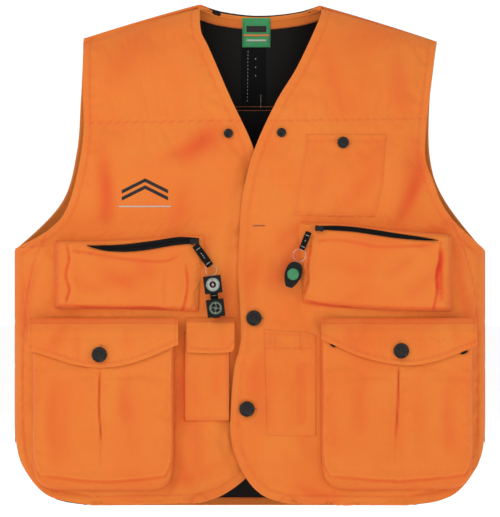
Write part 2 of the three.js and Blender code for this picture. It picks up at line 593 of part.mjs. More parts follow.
// Cargo pockets in their own yawed frames: local x along the seam, y out of the cloth (negative), z up
function cargoPocket(side, size) {
  const sign = side === 'right' ? 1 : -1;
  const inner = side === 'right' ? size.x1 : size.x0;
  let fullest = 0;
  for (let step = 0; step <= 100; step++) {
    const x = THREE.MathUtils.lerp(size.x0, size.x1, step / 100);
    fullest = Math.max(fullest, Math.abs(x - inner) * cargoYaw - surfaceY(x, size.top, 0, -1));
  }
  const sewY = sewBulge - fullest;
  const middle = (size.x0 + size.x1) / 2;
  const reach = (size.x1 - size.x0) / 2;
  const frame = new THREE.Matrix4().makeRotationZ(-sign * Math.atan(cargoYaw))
    .setPosition(middle, sewY + reach * cargoYaw, 0);
  const place = (manifold) => manifold.transform(frame.elements);
  const low = size.body0 - middle;
  const high = size.body1 - middle;
  const bodyShape = (inset, top) => {
    const shape = new THREE.Shape();
    const r = cargoCorner;
    const base = size.bottom + inset;
    shape.moveTo(low + inset, top);
    shape.lineTo(low + inset, base + r);
    shape.quadraticCurveTo(low + inset, base, low + inset + r, base);
    shape.lineTo(high - inset - r, base);
    shape.quadraticCurveTo(high - inset, base, high - inset, base + r);
    shape.lineTo(high - inset, top);
    return shape;
  };
  const mouth = size.top - mouthDrop;
  const inside = place(prism(bodyShape(clothWall, mouth + 10), -cargoDepth + clothWall, 26, 4))
    .subtract(body(0.8 + clothWall));
  const pocket = place(prism(bodyShape(0, mouth), -cargoDepth, 26, 4)).subtract(overBody).subtract(inside);
  add(`${side}_cargo_pocket`, pocket, orangeCloth);

  const flapBack = -cargoDepth - flapGap;
  const top = size.top;
  const profile = new THREE.Shape([[flapHingeY, top], [flapBack, top - flapSlopeDrop], [flapBack, size.tip - 5],
    [flapBack - flapThick, size.tip - 5], [flapBack - flapThick, top - flapSlopeDrop + 1.2],
    [flapHingeY - 1.3, top + 1.4]].map(([y, z]) => new THREE.Vector2(y, z)));
  const long = new THREE.ExtrudeGeometry(profile, { depth: 2 * reach, bevelEnabled: false });
  long.applyMatrix4(new THREE.Matrix4().set(0, 0, 1, -reach, 1, 0, 0, 0, 0, 1, 0, 0, 0, 0, 0, 1));
  const edge = new THREE.Shape();
  edge.moveTo(-reach, top + 5);
  edge.lineTo(-reach, size.sides);
  edge.quadraticCurveTo(-reach * 0.5, size.tip + 2, 0, size.tip);
  edge.quadraticCurveTo(reach * 0.5, size.tip + 2, reach, size.sides);
  edge.lineTo(reach, top + 5);
  const buttonX = (size.button[0] - middle) / Math.cos(Math.atan(cargoYaw));
  const hole = new THREE.CylinderGeometry(buttonDia / 2 + 3.4, buttonDia / 2 + 3.4, 40, 24);
  hole.translate(buttonX, -cargoDepth, size.button[1] - 1);
  const flap = solid(long).intersect(prism(edge, -40, 5, 6)).subtract(solid(hole));
  add(`${side}_cargo_flap`, place(flap), orangeCloth);

  const holder = new THREE.Group();
  holder.applyMatrix4(frame);
  vest.add(holder);
  const face = flapBack - flapThick - buttonStandOff;
  button(`${side}_cargo_button`, buttonX, face, size.button[1], -cargoDepth - stackGap - face, holder);
}
cargoPocket('right', rightCargo);
cargoPocket('left', leftCargo);

// Accessory pocket and flap, and the open hand pocket on the other front
const flatPocket = block(accessory.x0, accessory.x1, accessory.faceY, -30, accessory.bottom, accessory.mouth);
add('accessory_pocket', solid(flatPocket).subtract(overBody), orangeCloth);
const flapShape = new THREE.Shape();
flapShape.moveTo(accessory.flap0, accessory.top);
flapShape.lineTo(accessory.flap0, accessory.flapBottom);
flapShape.lineTo(accessory.flap1 - accessory.corner, accessory.flapBottom);
flapShape.quadraticCurveTo(accessory.flap1, accessory.flapBottom, accessory.flap1,
  accessory.flapBottom + accessory.corner);
flapShape.lineTo(accessory.flap1, accessory.top);
add('accessory_flap', prism(flapShape, accessory.faceY - flapGap - flapThick, accessory.faceY - flapGap, 5),
  orangeCloth);
const handOutline = [[16, -422], [20, -560], [84, -560], [84, -430], [72, -425]];
add('hand_pocket', layer(layerGap, layerGap + patchThick).intersect(prism(handOutline, -farY, -seamGap)), orangeCloth);

export default vest;
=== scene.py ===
# Hunting vest: cloth, pockets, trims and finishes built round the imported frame
import json
import math

import bmesh
import bpy
import numpy as np
from mathutils import Matrix, Vector, noise
from mathutils.bvhtree import BVHTree
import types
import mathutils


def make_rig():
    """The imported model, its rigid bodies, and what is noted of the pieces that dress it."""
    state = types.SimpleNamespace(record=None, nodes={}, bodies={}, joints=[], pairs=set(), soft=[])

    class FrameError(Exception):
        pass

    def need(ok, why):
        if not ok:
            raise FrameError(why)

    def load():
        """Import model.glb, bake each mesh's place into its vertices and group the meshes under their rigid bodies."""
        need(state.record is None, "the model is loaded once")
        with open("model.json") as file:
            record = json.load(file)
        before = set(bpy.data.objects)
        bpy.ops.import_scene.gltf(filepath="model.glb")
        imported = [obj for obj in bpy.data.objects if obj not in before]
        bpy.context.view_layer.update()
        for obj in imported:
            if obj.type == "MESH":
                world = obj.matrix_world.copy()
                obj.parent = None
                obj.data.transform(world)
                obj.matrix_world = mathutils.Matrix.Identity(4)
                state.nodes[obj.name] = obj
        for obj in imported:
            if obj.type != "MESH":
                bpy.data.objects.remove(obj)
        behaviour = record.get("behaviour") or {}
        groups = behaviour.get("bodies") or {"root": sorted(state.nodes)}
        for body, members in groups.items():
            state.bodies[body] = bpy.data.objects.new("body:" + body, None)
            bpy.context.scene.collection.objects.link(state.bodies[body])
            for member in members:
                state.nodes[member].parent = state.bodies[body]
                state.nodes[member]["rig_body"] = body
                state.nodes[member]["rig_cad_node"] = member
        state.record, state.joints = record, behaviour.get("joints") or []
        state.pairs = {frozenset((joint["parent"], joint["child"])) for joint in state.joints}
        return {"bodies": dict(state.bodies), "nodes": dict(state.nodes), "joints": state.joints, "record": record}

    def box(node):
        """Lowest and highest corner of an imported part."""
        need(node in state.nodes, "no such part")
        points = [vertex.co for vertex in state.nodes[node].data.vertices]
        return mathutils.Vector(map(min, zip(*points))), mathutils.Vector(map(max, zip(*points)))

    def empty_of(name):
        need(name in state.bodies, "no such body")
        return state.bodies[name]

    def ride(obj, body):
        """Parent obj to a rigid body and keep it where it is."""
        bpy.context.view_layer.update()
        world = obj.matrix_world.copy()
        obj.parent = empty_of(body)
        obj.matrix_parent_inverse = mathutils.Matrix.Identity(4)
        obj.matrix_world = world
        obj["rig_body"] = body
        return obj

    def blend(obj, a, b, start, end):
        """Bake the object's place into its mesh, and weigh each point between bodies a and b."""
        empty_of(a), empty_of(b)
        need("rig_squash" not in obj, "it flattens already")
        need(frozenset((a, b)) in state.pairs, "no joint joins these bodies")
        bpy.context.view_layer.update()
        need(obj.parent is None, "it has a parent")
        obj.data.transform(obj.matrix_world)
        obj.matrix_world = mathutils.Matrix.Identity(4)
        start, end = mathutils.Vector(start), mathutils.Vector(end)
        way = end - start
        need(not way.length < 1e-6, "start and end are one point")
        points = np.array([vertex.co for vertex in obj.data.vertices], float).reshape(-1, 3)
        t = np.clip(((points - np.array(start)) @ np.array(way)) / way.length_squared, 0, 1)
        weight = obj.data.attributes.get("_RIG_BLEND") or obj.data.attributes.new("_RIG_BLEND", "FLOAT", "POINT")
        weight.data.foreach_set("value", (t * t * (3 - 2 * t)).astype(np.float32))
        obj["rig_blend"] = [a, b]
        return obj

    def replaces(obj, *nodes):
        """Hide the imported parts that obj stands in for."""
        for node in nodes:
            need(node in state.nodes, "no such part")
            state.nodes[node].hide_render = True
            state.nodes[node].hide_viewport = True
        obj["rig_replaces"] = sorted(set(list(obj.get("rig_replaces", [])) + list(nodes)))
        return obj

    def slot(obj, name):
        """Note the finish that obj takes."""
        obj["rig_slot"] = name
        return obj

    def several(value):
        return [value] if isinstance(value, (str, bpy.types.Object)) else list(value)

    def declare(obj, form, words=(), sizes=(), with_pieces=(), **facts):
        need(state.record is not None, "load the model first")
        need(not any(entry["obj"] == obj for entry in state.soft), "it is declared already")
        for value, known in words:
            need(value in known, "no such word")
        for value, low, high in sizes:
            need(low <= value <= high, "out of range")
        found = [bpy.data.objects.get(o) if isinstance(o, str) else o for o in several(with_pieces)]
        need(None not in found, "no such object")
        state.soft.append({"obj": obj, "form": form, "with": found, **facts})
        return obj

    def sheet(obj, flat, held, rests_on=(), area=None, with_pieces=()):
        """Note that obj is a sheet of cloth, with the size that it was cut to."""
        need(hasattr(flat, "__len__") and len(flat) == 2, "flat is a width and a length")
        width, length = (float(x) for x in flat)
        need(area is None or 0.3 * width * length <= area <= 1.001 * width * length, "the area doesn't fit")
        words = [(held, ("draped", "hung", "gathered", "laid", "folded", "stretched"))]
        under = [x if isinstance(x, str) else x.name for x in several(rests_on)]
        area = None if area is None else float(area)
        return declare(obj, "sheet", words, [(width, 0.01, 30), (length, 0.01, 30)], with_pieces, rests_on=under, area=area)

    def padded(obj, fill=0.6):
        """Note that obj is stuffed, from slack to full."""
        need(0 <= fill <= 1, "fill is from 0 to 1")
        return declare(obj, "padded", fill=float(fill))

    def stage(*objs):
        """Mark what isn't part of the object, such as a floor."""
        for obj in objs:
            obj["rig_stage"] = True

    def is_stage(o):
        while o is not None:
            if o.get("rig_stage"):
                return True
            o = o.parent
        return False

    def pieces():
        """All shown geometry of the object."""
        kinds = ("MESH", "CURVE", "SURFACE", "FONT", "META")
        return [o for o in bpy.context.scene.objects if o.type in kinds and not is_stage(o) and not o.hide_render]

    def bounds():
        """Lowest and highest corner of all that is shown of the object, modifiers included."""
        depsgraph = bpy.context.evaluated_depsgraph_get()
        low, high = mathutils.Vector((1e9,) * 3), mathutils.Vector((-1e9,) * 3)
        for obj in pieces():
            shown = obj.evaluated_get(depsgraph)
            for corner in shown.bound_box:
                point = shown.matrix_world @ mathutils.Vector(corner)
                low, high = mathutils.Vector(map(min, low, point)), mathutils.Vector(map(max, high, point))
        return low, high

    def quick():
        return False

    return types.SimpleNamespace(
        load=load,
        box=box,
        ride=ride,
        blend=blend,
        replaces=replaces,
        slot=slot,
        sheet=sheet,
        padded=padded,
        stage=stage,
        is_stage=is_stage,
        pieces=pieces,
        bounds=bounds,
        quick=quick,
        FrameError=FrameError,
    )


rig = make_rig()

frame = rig.load()
cadLow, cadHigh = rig.bounds()
mm = 0.001
for thing in bpy.data.objects:
    thing.select_set(False)

backLow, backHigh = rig.box("back_shell")
frontLow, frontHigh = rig.box("left_front_shell")
vest = {
    "sideCentre": (backLow.x + backHigh.x) / 2 / mm,
    "halfWidth": (backHigh.x - backLow.x) / 2 / mm,
    "frontDepth": -frontLow.y / mm,
    "backDepth": backHigh.y / mm,
    "power": 3.2,  # squareness of the horizontal section
    "fall": 230,  # height over which the shoulder rounds down
    "neckCentre": 10,
    "neckHalf": 78,
    "frontHem": frontLow.z / mm,
    "backHem": backLow.z / mm,
    "underarm": -317,
    "splitZ": frontHigh.z / mm + 0.3,
    "clothThick": 1.2,
    "liningThick": 0.6,
}
seamRight = vest["sideCentre"] - vest["halfWidth"]
seamLeft = vest["sideCentre"] + vest["halfWidth"]


# Camera, backdrop and lights
def setCamera():
    look = {"middle": (-0.00195, -0.055, -0.3296), "seenHigh": 0.672, "distance": 4.2}
    data = bpy.data.cameras.new("camera")
    data.lens = 36 * look["distance"] / look["seenHigh"]
    data.clip_end = 60
    eye = bpy.data.objects.new("camera", data)
    eye.location = Vector(look["middle"]) - Vector((0, look["distance"], 0))
    eye.rotation_euler = (math.pi / 2, 0, 0)
    bpy.context.scene.collection.objects.link(eye)
    bpy.context.scene.camera = eye


def setLights():
    lamps = {
        "keyLamp": {"at": (-1.5, -2.2, 1.3), "size": 1.7, "power": 26, "tint": (1.0, 0.985, 0.96)},
        "fillLamp": {"at": (1.9, -2.0, 0.2), "size": 2.2, "power": 9, "tint": (0.96, 0.98, 1.0)},
        "backLamp": {"at": (0.3, 2.4, 1.2), "size": 2.2, "power": 12, "tint": (1.0, 1.0, 1.0)},
    }
    for name, lamp in lamps.items():
        data = bpy.data.lights.new(name, "AREA")
        data.size = lamp["size"]
        data.energy = lamp["power"]
        data.color = lamp["tint"]
        holder = bpy.data.objects.new(name, data)
        holder.location = lamp["at"]
        aim = Vector((0, 0, -0.33)) - Vector(lamp["at"])
        holder.rotation_euler = aim.to_track_quat("-Z", "Y").to_euler()
        bpy.context.scene.collection.objects.link(holder)
    world = bpy.data.worlds.new("studio")
    world.use_nodes = True
    tree = world.node_tree
    tree.nodes["Background"].inputs["Color"].default_value = (1, 1, 1, 1)
    seen = tree.nodes.new("ShaderNodeLightPath").outputs["Is Camera Ray"]
    glow = tree.nodes.new("ShaderNodeMapRange")
    glow.inputs["To Min"].default_value, glow.inputs["To Max"].default_value = 0.62, 1.06
    tree.links.new(seen, glow.inputs["Value"])
    tree.links.new(glow.outputs["Result"], tree.nodes["Background"].inputs["Strength"])
    bpy.context.scene.world = world
    bpy.context.scene.view_settings.view_transform = "Standard"


setCamera()
setLights()
print("camera and lights set")


# Node materials: Val is a socket that takes part in sums
class Val:
    def __init__(self, finish, out):
        self.finish, self.out = finish, out

    def maths(self, operation, other=0.0, flip=False):
        pair = {0: other, 1: self} if flip else {0: self, 1: other}
        return self.finish.node("ShaderNodeMath", {"operation": operation}, pair)

    def __add__(self, other):
        return self.maths("ADD", other)

    def __radd__(self, other):
        return self.maths("ADD", other, True)

    def __sub__(self, other):
        return self.maths("SUBTRACT", other)

    def __rsub__(self, other):
        return self.maths("SUBTRACT", other, True)

    def __mul__(self, other):
        return self.maths("MULTIPLY", other)

    def __rmul__(self, other):
        return self.maths("MULTIPLY", other, True)

    def sine(self):
        return self.maths("SINE")

    def held(self, low=0.0, high=1.0):
        return self.finish.node("ShaderNodeClamp", {}, {"Value": self, "Min": low, "Max": high})


class Finish:
    def __init__(self, name, **fixed):
        self.material = bpy.data.materials.new(name)
        self.material.use_nodes = True
        self.tree = self.material.node_tree
        self.shader = self.tree.nodes["Principled BSDF"]
        for socket, value in fixed.items():
            self.shader.inputs[socket.replace("_", " ")].default_value = value

    def node(self, kind, settings=None, inputs=None, out=0):
        made = self.tree.nodes.new(kind)
        for key, value in (settings or {}).items():
            if key == "stops":
                ramp = made.color_ramp
                while len(ramp.elements) < len(value):
                    ramp.elements.new(0.5)
                for stop, (place, colour) in zip(ramp.elements, value):
                    stop.position, stop.color = place, (*colour, 1)
            else:
                setattr(made, key, value)
        for key, value in (inputs or {}).items():
            if isinstance(value, Val):
                self.tree.links.new(value.out, made.inputs[key])
            else:
                made.inputs[key].default_value = value
        return Val(self, made.outputs[out])

    def feed(self, **links):
        for socket, value in links.items():
            self.tree.links.new(value.out, self.shader.inputs[socket.replace("_", " ")])
        return self.material

    def clothPlace(self):
        return self.node("ShaderNodeUVMap", {"uv_map": "cloth"})

    def objectPlace(self):
        return self.node("ShaderNodeTexCoord", {}, {}, "Object")

    def axis(self, place, name):
        return self.node("ShaderNodeSeparateXYZ", {}, {"Vector": place}, name)

    def noise(self, place, scale, detail=2.0, rough=0.5):
        return self.node("ShaderNodeTexNoise", {}, {"Vector": place, "Scale": scale, "Detail": detail,
                                                    "Roughness": rough}, "Fac")

    def attribute(self, name):
        return self.node("ShaderNodeAttribute", {"attribute_name": name}, {}, "Fac")

    def mixed(self, share, a, b):
        a, b = ((*c, 1) if isinstance(c, tuple) else c for c in (a, b))
        return self.node("ShaderNodeMix", {"data_type": "RGBA"}, {0: share, 6: a, 7: b}, 2)

    def bump(self, height, strength, distance):
        return self.node("ShaderNodeBump", {}, {"Height": height, "Strength": strength, "Distance": distance})


def wovenFinish(name, light, dark, deep, yarn, rough, bumpDistance, patch=9.0, **fixed):
    # Twill cloth: yarn is the width of one rib in metres; deep is the painted shade colour, mixed in where the cloth's
    # painted-shade attribute is high: in creases, beside folds, along seams and under pocket edges
    f = Finish(name, **fixed)
    place = f.clothPlace()
    u, v = f.axis(place, "X"), f.axis(place, "Y")
    turns = 2 * math.pi / yarn
    ribs = ((u + v) * turns).sine() * 0.5 + 0.5
    weft = ((u - v) * (turns * 0.5)).sine() * 0.5 + 0.5
    fibre = f.noise(place, 1900, 2.0, 0.7)
    weave = ribs * 0.55 + weft * 0.2 + fibre * 0.5
    broad = f.noise(place, patch, 3.0, 0.55)
    worn = f.attribute("worn")
    crease = f.attribute("crease").held()
    tone = f.mixed(((broad - 0.35) * 2.2).held(), light, dark)
    tone = f.mixed((weave * 0.28).held(), tone, dark)
    # painted shade: the colour is pulled towards deep in creases, beside folds and along seams
    tone = f.mixed(crease, tone, deep)
    pale = tuple(min(1.0, c * 1.12 + 0.012) for c in light)
    tone = f.mixed((worn * 0.8).held(), tone, pale)
    f.feed(Base_Color=tone, Roughness=(rough + fibre * 0.12 - worn * 0.05).held(),
           Normal=f.bump(weave, 0.55, bumpDistance))
    return f.material


# the third colour of each cloth is its painted shade colour
orangeCloth = wovenFinish("orangeCloth", (0.770, 0.222, 0.036), (0.765, 0.156, 0.026), (0.69, 0.052, 0.016),
                          0.0011, 0.78, 0.00022, Sheen_Weight=0.12, Sheen_Roughness=0.5,
                          Sheen_Tint=(1.0, 0.5, 0.25, 1), Specular_IOR_Level=0.2)
blackNylon = wovenFinish("blackNylon", (0.007, 0.004, 0.003), (0.003, 0.002, 0.002), (0.001, 0.001, 0.001),
                         0.0005, 0.34, 0.00008, 14.0, Specular_IOR_Level=0.16)
blackWebbing = wovenFinish("blackWebbing", (0.006, 0.006, 0.007), (0.003, 0.003, 0.003),
                           (0.001, 0.001, 0.001),
                           0.0012, 0.62, 0.00025, 30.0, Specular_IOR_Level=0.12)
greenWeave = wovenFinish("greenWeave", (0.052, 0.36, 0.13), (0.035, 0.28, 0.09), (0.02, 0.15, 0.05),
                         0.0006, 0.7, 0.00012, 30.0, Sheen_Weight=0.1)


def threadFinish(name, colour, rough=0.6):
    f = Finish(name, Sheen_Weight=0.2)
    place = f.objectPlace()
    twist = f.noise(place, 2600, 1.0)
    dark = tuple(c * 0.72 for c in colour)
    f.feed(Base_Color=f.mixed(twist, dark, colour), Roughness=(rough + twist * 0.2).held(),
           Normal=f.bump(twist, 0.4, 0.0001))
    return f.material


orangeThread = threadFinish("orangeThread", (0.90, 0.24, 0.05))
blackThread = threadFinish("blackThread", (0.008, 0.007, 0.007))
paleThread = threadFinish("paleThread", (0.62, 0.60, 0.54))


def hardFinish(name, colour, rough, fleck=120.0, bumpDistance=0.00005, contrast=0.35, **fixed):
    f = Finish(name, **fixed)
    place = f.objectPlace()
    cloud = f.noise(place, fleck, 4.0, 0.6)
    fine = f.noise(place, fleck * 14, 2.0, 0.7)
    dark = tuple(c * (1 - contrast) for c in colour)
    f.feed(Base_Color=f.mixed(((cloud - 0.3) * 2.2).held(), dark, colour),
           Roughness=(rough + (fine - 0.5) * 0.22 + (cloud - 0.5) * 0.12).held(0.03),
           Normal=f.bump(fine, 0.35, bumpDistance))
    return f.material


hornFinish = hardFinish("buttonHorn", (0.009, 0.004, 0.003), 0.25, 160.0, contrast=0.6,
                        Specular_IOR_Level=0.35)
blackMetal = hardFinish("blackMetal", (0.010, 0.010, 0.011), 0.3, 240.0, Metallic=0.3, Specular_IOR_Level=0.4)
brightSteel = hardFinish("brightSteel", (0.62, 0.63, 0.65), 0.24, 200.0, Metallic=1.0)
caseBlack = hardFinish("caseBlack", (0.004, 0.006, 0.005), 0.42, 300.0, 0.00012, Specular_IOR_Level=0.2)
coilBlack = hardFinish("coilBlack", (0.004, 0.004, 0.004), 0.4, 400.0, Specular_IOR_Level=0.2)
pressGreen = hardFinish("pressGreen", (0.035, 0.27, 0.10), 0.42, 260.0, 0.0001, 0.25)
dialWhite = hardFinish("dialWhite", (0.72, 0.73, 0.70), 0.5, 90.0, contrast=0.1)
dialBlack = hardFinish("dialBlack", (0.004, 0.004, 0.004), 0.5, 90.0, Specular_IOR_Level=0.1)
markBlack = hardFinish("markBlack", (0.012, 0.012, 0.012), 0.55, 90.0)
markPale = hardFinish("markPale", (0.62, 0.80, 0.60), 0.5, 90.0, contrast=0.1)
needleRed = hardFinish("needleRed", (0.55, 0.03, 0.015), 0.45, 90.0)
cellSteel = hardFinish("cellSteel", (0.55, 0.55, 0.56), 0.35, 300.0, Metallic=1.0)


def glassFinish(name, tint, rough):
    f = Finish(name, Transmission_Weight=1.0, IOR=1.2, Base_Color=(*tint, 1))
    smear = f.noise(f.objectPlace(), 260, 3.0)
    f.feed(Roughness=(rough + smear * 0.05).held())
    return f.material


clearLens = glassFinish("clearLens", (0.97, 0.99, 0.98), 0.02)
bulbGlass = glassFinish("bulbGlass", (0.92, 0.98, 0.99), 0.06)


def setFloor():
    size = {"z": -0.712, "half": 14}
    bpy.ops.mesh.primitive_plane_add(size=2 * size["half"], location=(0, 0, size["z"]))
    floor = bpy.context.object
    floor.name = "floor"
    bpy.ops.object.transform_apply(location=True)
    f = Finish("paleFloor", Roughness=0.9, Emission_Color=(1, 1, 1, 1), Emission_Strength=0.42)
    cloud = f.noise(f.objectPlace(), 3.0, 3.0)
    floor.data.materials.append(f.feed(Base_Color=f.mixed(cloud, (0.86, 0.86, 0.86), (0.9, 0.9, 0.9))))
    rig.stage(floor)
    floor.select_set(False)


setFloor()
print("finishes made")


# Curves and the body's surface; plans are in millimetres, x across and z up
def curve(points, count=48):
    pts = np.array(points, float)
    last = len(pts) - 1
    found = []
    for step in range(count + 1):
        t = last * step / count
        i = min(int(t), last)
        w = t - i
        p0, p1, p2, p3 = (pts[min(max(k, 0), last)] for k in (i - 1, i, i + 1, i + 2))
        v0, v1 = (p2 - p0) / 2, (p3 - p1) / 2
        found.append((2 * p1 - 2 * p2 + v0 + v1) * w ** 3 +
                     (-3 * p1 + 3 * p2 - 2 * v0 - v1) * w ** 2 + v0 * w + p1)
    return np.array(found)


def joined(*lines):
    return np.vstack([np.array(line, float) for line in lines])


def ridge(x):
    beyond = np.maximum(0, np.abs(x - vest["neckCentre"]) - vest["neckHalf"])
    return -0.27 * beyond - 0.0002 * beyond ** 2


def surfaceY(x, z, offset, side):
    u = np.clip((x - vest["sideCentre"]) / (vest["halfWidth"] + offset), -1, 1)
    up = np.sqrt(1 - (1 - np.clip((ridge(x) + offset - z) / vest["fall"], 0, 1)) ** 2)
    depth = vest["frontDepth"] if side < 0 else vest["backDepth"]
    belly = (1 - np.abs(u) ** vest["power"]) ** (1 / vest["power"])
    return side * (depth * up + offset * np.minimum(1, 3 * up)) * belly


def spread(line, count, side=0, offset=0.0):
    # the same line with evenly spaced points, measured on the body's surface
    line = np.array(line, float)
    fine = np.linspace(0, len(line) - 1, 12 * len(line))
    line = np.column_stack([np.interp(fine, range(len(line)), line[:, k]) for k in (0, 1)])
    y = surfaceY(line[:, 0], line[:, 1], offset, side) if side else np.zeros(len(line))
    steps = np.sqrt(np.diff(line[:, 0]) ** 2 + np.diff(y) ** 2 + np.diff(line[:, 1]) ** 2)
    run = np.concatenate([[0], np.cumsum(steps)])
    at = np.linspace(0, run[-1], count)
    return np.column_stack([np.interp(at, run, line[:, 0]), np.interp(at, run, line[:, 1])])


def panelGrid(top, bottom, inner, outer, rows, columns, side=0, offset=0.0):
    dense = 6 * columns
    t, b = spread(top, dense, side, offset), spread(bottom, dense, side, offset)
    l, r = spread(inner, rows, side, offset), spread(outer, rows, side, offset)
    u = np.linspace(0, 1, dense)[None, :, None]
    v = np.linspace(0, 1, rows)[:, None, None]
    p = (1 - v) * t[None] + v * b[None] + (1 - u) * l[:, None] + u * r[:, None]
    p -= (1 - u) * (1 - v) * t[0] + u * (1 - v) * t[-1] + (1 - u) * v * b[0] + u * v * b[-1]
    kept = np.linspace(0, dense - 1, dense // 3).round().astype(int)
    return np.array([spread(row[kept], columns, side, offset) for row in p])


def nearLine(x, z, line):
    # distance to a line, and how far along it the nearest point lies
    best = np.full(x.shape, 1e9)
    along = np.zeros(x.shape)
    run = 0.0
    for (ax, az), (bx, bz) in zip(line[:-1], line[1:]):
        dx, dz = bx - ax, bz - az
        size = dx * dx + dz * dz
        if size < 1e-9:
            continue
        t = np.clip(((x - ax) * dx + (z - az) * dz) / size, 0, 1)
        d = np.hypot(x - ax - t * dx, z - az - t * dz)
        closer = d < best
        best = np.where(closer, d, best)
        along = np.where(closer, run + t * math.sqrt(size), along)
        run += math.sqrt(size)
    return best, along


def shifted(line, distance):
    # the line moved sideways, to the left of its direction
    line = np.array(line, float)
    step = np.gradient(line, axis=0)
    step /= np.maximum(np.linalg.norm(step, axis=1, keepdims=True), 1e-9)
    return line + distance * np.column_stack([-step[:, 1], step[:, 0]])


def smooth(value, low, high):
    t = np.clip((value - low) / (high - low), 0, 1)
    return t * t * (3 - 2 * t)


def bell(value, width):
    return np.exp(-((value / width) ** 2))


def waver(x, z, scale, seed):
    flat = [noise.noise((a / scale, b / scale, seed)) for a, b in zip(x.ravel(), z.ravel())]
    return np.array(flat).reshape(x.shape)


def normalsOf(points, outward):
    n = np.cross(np.gradient(points, axis=0), np.gradient(points, axis=1))
    n *= np.sign((n.reshape(-1, 3) @ np.array(outward, float)).sum())
    return n / np.maximum(np.linalg.norm(n, axis=2, keepdims=True), 1e-9)


# A sheet of cloth from a grid of points in millimetres, with its own flat measure as uv
def clothGrid(name, points, outward, material, crease=None, worn=None):
    rows, columns = points.shape[:2]
    mesh = bpy.data.meshes.new(name)
    faces = []
    for i in range(rows - 1):
        for j in range(columns - 1):
            a = i * columns + j
            faces.append((a, a + 1, a + 1 + columns, a + columns))
    facing = np.cross(np.gradient(points, axis=1),
                      np.gradient(points, axis=0)).reshape(-1, 3) @ np.array(outward, float)
    if facing.sum() < 0:
        faces = [f[::-1] for f in faces]
    mesh.from_pydata((points.reshape(-1, 3) * mm).tolist(), [], faces)
    stepU = np.linalg.norm(np.diff(points, axis=1), axis=2)
    stepV = np.linalg.norm(np.diff(points, axis=0), axis=2).mean(1)
    runU = np.concatenate([np.zeros((rows, 1)), np.cumsum(stepU, axis=1)], axis=1)
    runU += points[:, :1, 0] - runU[:, :1]
    runV = np.concatenate([[0], np.cumsum(stepV)])
    uv = mesh.uv_layers.new(name="cloth")
    flat = np.column_stack([runU.ravel(), np.repeat(-runV, columns)]) * mm
    ids = np.zeros(len(mesh.loops), int)
    mesh.loops.foreach_get("vertex_index", ids)
    uv.data.foreach_set("uv", flat[ids].ravel())
    # the first attribute is painted shade in creases and along seams (on the lining it is darker patches at random);
    # the second is edge wear
    for label, values in (("crease", crease), ("worn", worn)):
        layer = mesh.attributes.new(label, "FLOAT", "POINT")
        if values is not None:
            layer.data.foreach_set("value", np.clip(values, 0, 1).astype(np.float32).ravel())
    mesh.materials.append(material)
    mesh.update()
    piece = bpy.data.objects.new(name, mesh)
    bpy.context.scene.collection.objects.link(piece)
    for polygon in mesh.polygons:
        polygon.use_smooth = True
    return piece


def onlySelect(piece):
    for other in bpy.context.selected_objects:
        other.select_set(False)
    piece.select_set(True)
    bpy.context.view_layer.objects.active = piece


def turnOutward(piece):
    onlySelect(piece)
    bpy.ops.object.mode_set(mode="EDIT")
    bpy.ops.mesh.select_all(action="SELECT")
    bpy.ops.mesh.normals_make_consistent(inside=False)
    bpy.ops.object.mode_set(mode="OBJECT")
    piece.select_set(False)


def finishModifier(piece, kind, **settings):
    onlySelect(piece)
    modifier = piece.modifiers.new(kind.lower(), kind)
    for key, value in settings.items():
        setattr(modifier, key, value)
    bpy.ops.object.modifier_apply(modifier=modifier.name)
    piece.select_set(False)


def thicken(piece, thick, offset=-1.0):
    finishModifier(piece, "SOLIDIFY", thickness=thick * mm, offset=offset, use_rim=True,
                   use_even_offset=False)
    return piece


def settle(points, outward, pins, grow, pressure, cap, frames=20, stiff=0.4):
    # lets a grid of cloth find its own ripples: it is a little too large for its pinned seams
    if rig.quick():
        return points
    trial = clothGrid("trialCloth", points, outward, orangeCloth)
    rest = np.array([v.co for v in trial.data.vertices])
    group = trial.vertex_groups.new(name="pins")
    for index, weight in enumerate(np.clip(pins, 0, 1).ravel()):
        if weight > 0.01:
            group.add([index], float(weight), "REPLACE")
    cloth = trial.modifiers.new("cloth", "CLOTH")
    s = cloth.settings
    s.quality = 6
    s.mass = 0.25
    s.tension_stiffness = s.compression_stiffness = 18
    s.shear_stiffness = 8
    s.bending_stiffness = stiff
    s.air_damping = 3
    s.shrink_min = -grow
    s.vertex_group_mass = "pins"
    s.pin_stiffness = 1.0
    s.use_pressure = True
    s.uniform_pressure_force = pressure
    s.effector_weights.gravity = 0
    cloth.collision_settings.use_collision = False
    cloth.point_cache.frame_start, cloth.point_cache.frame_end = 1, frames
    for step in range(1, frames + 1):
        bpy.context.scene.frame_set(step)
    found = trial.evaluated_get(bpy.context.evaluated_depsgraph_get())
    now = np.array([v.co for v in found.data.vertices])
    move = now - rest
    length = np.linalg.norm(move, axis=1, keepdims=True)
    move *= cap * mm * np.tanh(length / (cap * mm)) / np.maximum(length, 1e-9)
    mesh = trial.data
    bpy.data.objects.remove(trial)
    bpy.data.meshes.remove(mesh)
    bpy.context.scene.frame_set(1)
    return points + (move / mm).reshape(points.shape)


def finer(grid, rows, columns):
    # the same surface with more points, on smooth cubic interpolation
    def along(values, count):
        n = len(values)
        t = np.linspace(0, n - 1, count)
        i = np.minimum(t.astype(int), n - 2)
        w = (t - i)[:, None, None]
        p0, p1, p2, p3 = (values[np.clip(i + k, 0, n - 1)] for k in (-1, 0, 1, 2))
        v0, v1 = (p2 - p0) / 2, (p3 - p1) / 2
        return (2 * p1 - 2 * p2 + v0 + v1) * w ** 3 + (-3 * p1 + 3 * p2 - 2 * v0 - v1) * w ** 2 + v0 * w + p1
    return along(along(grid, rows).transpose(1, 0, 2), columns).transpose(1, 0, 2)


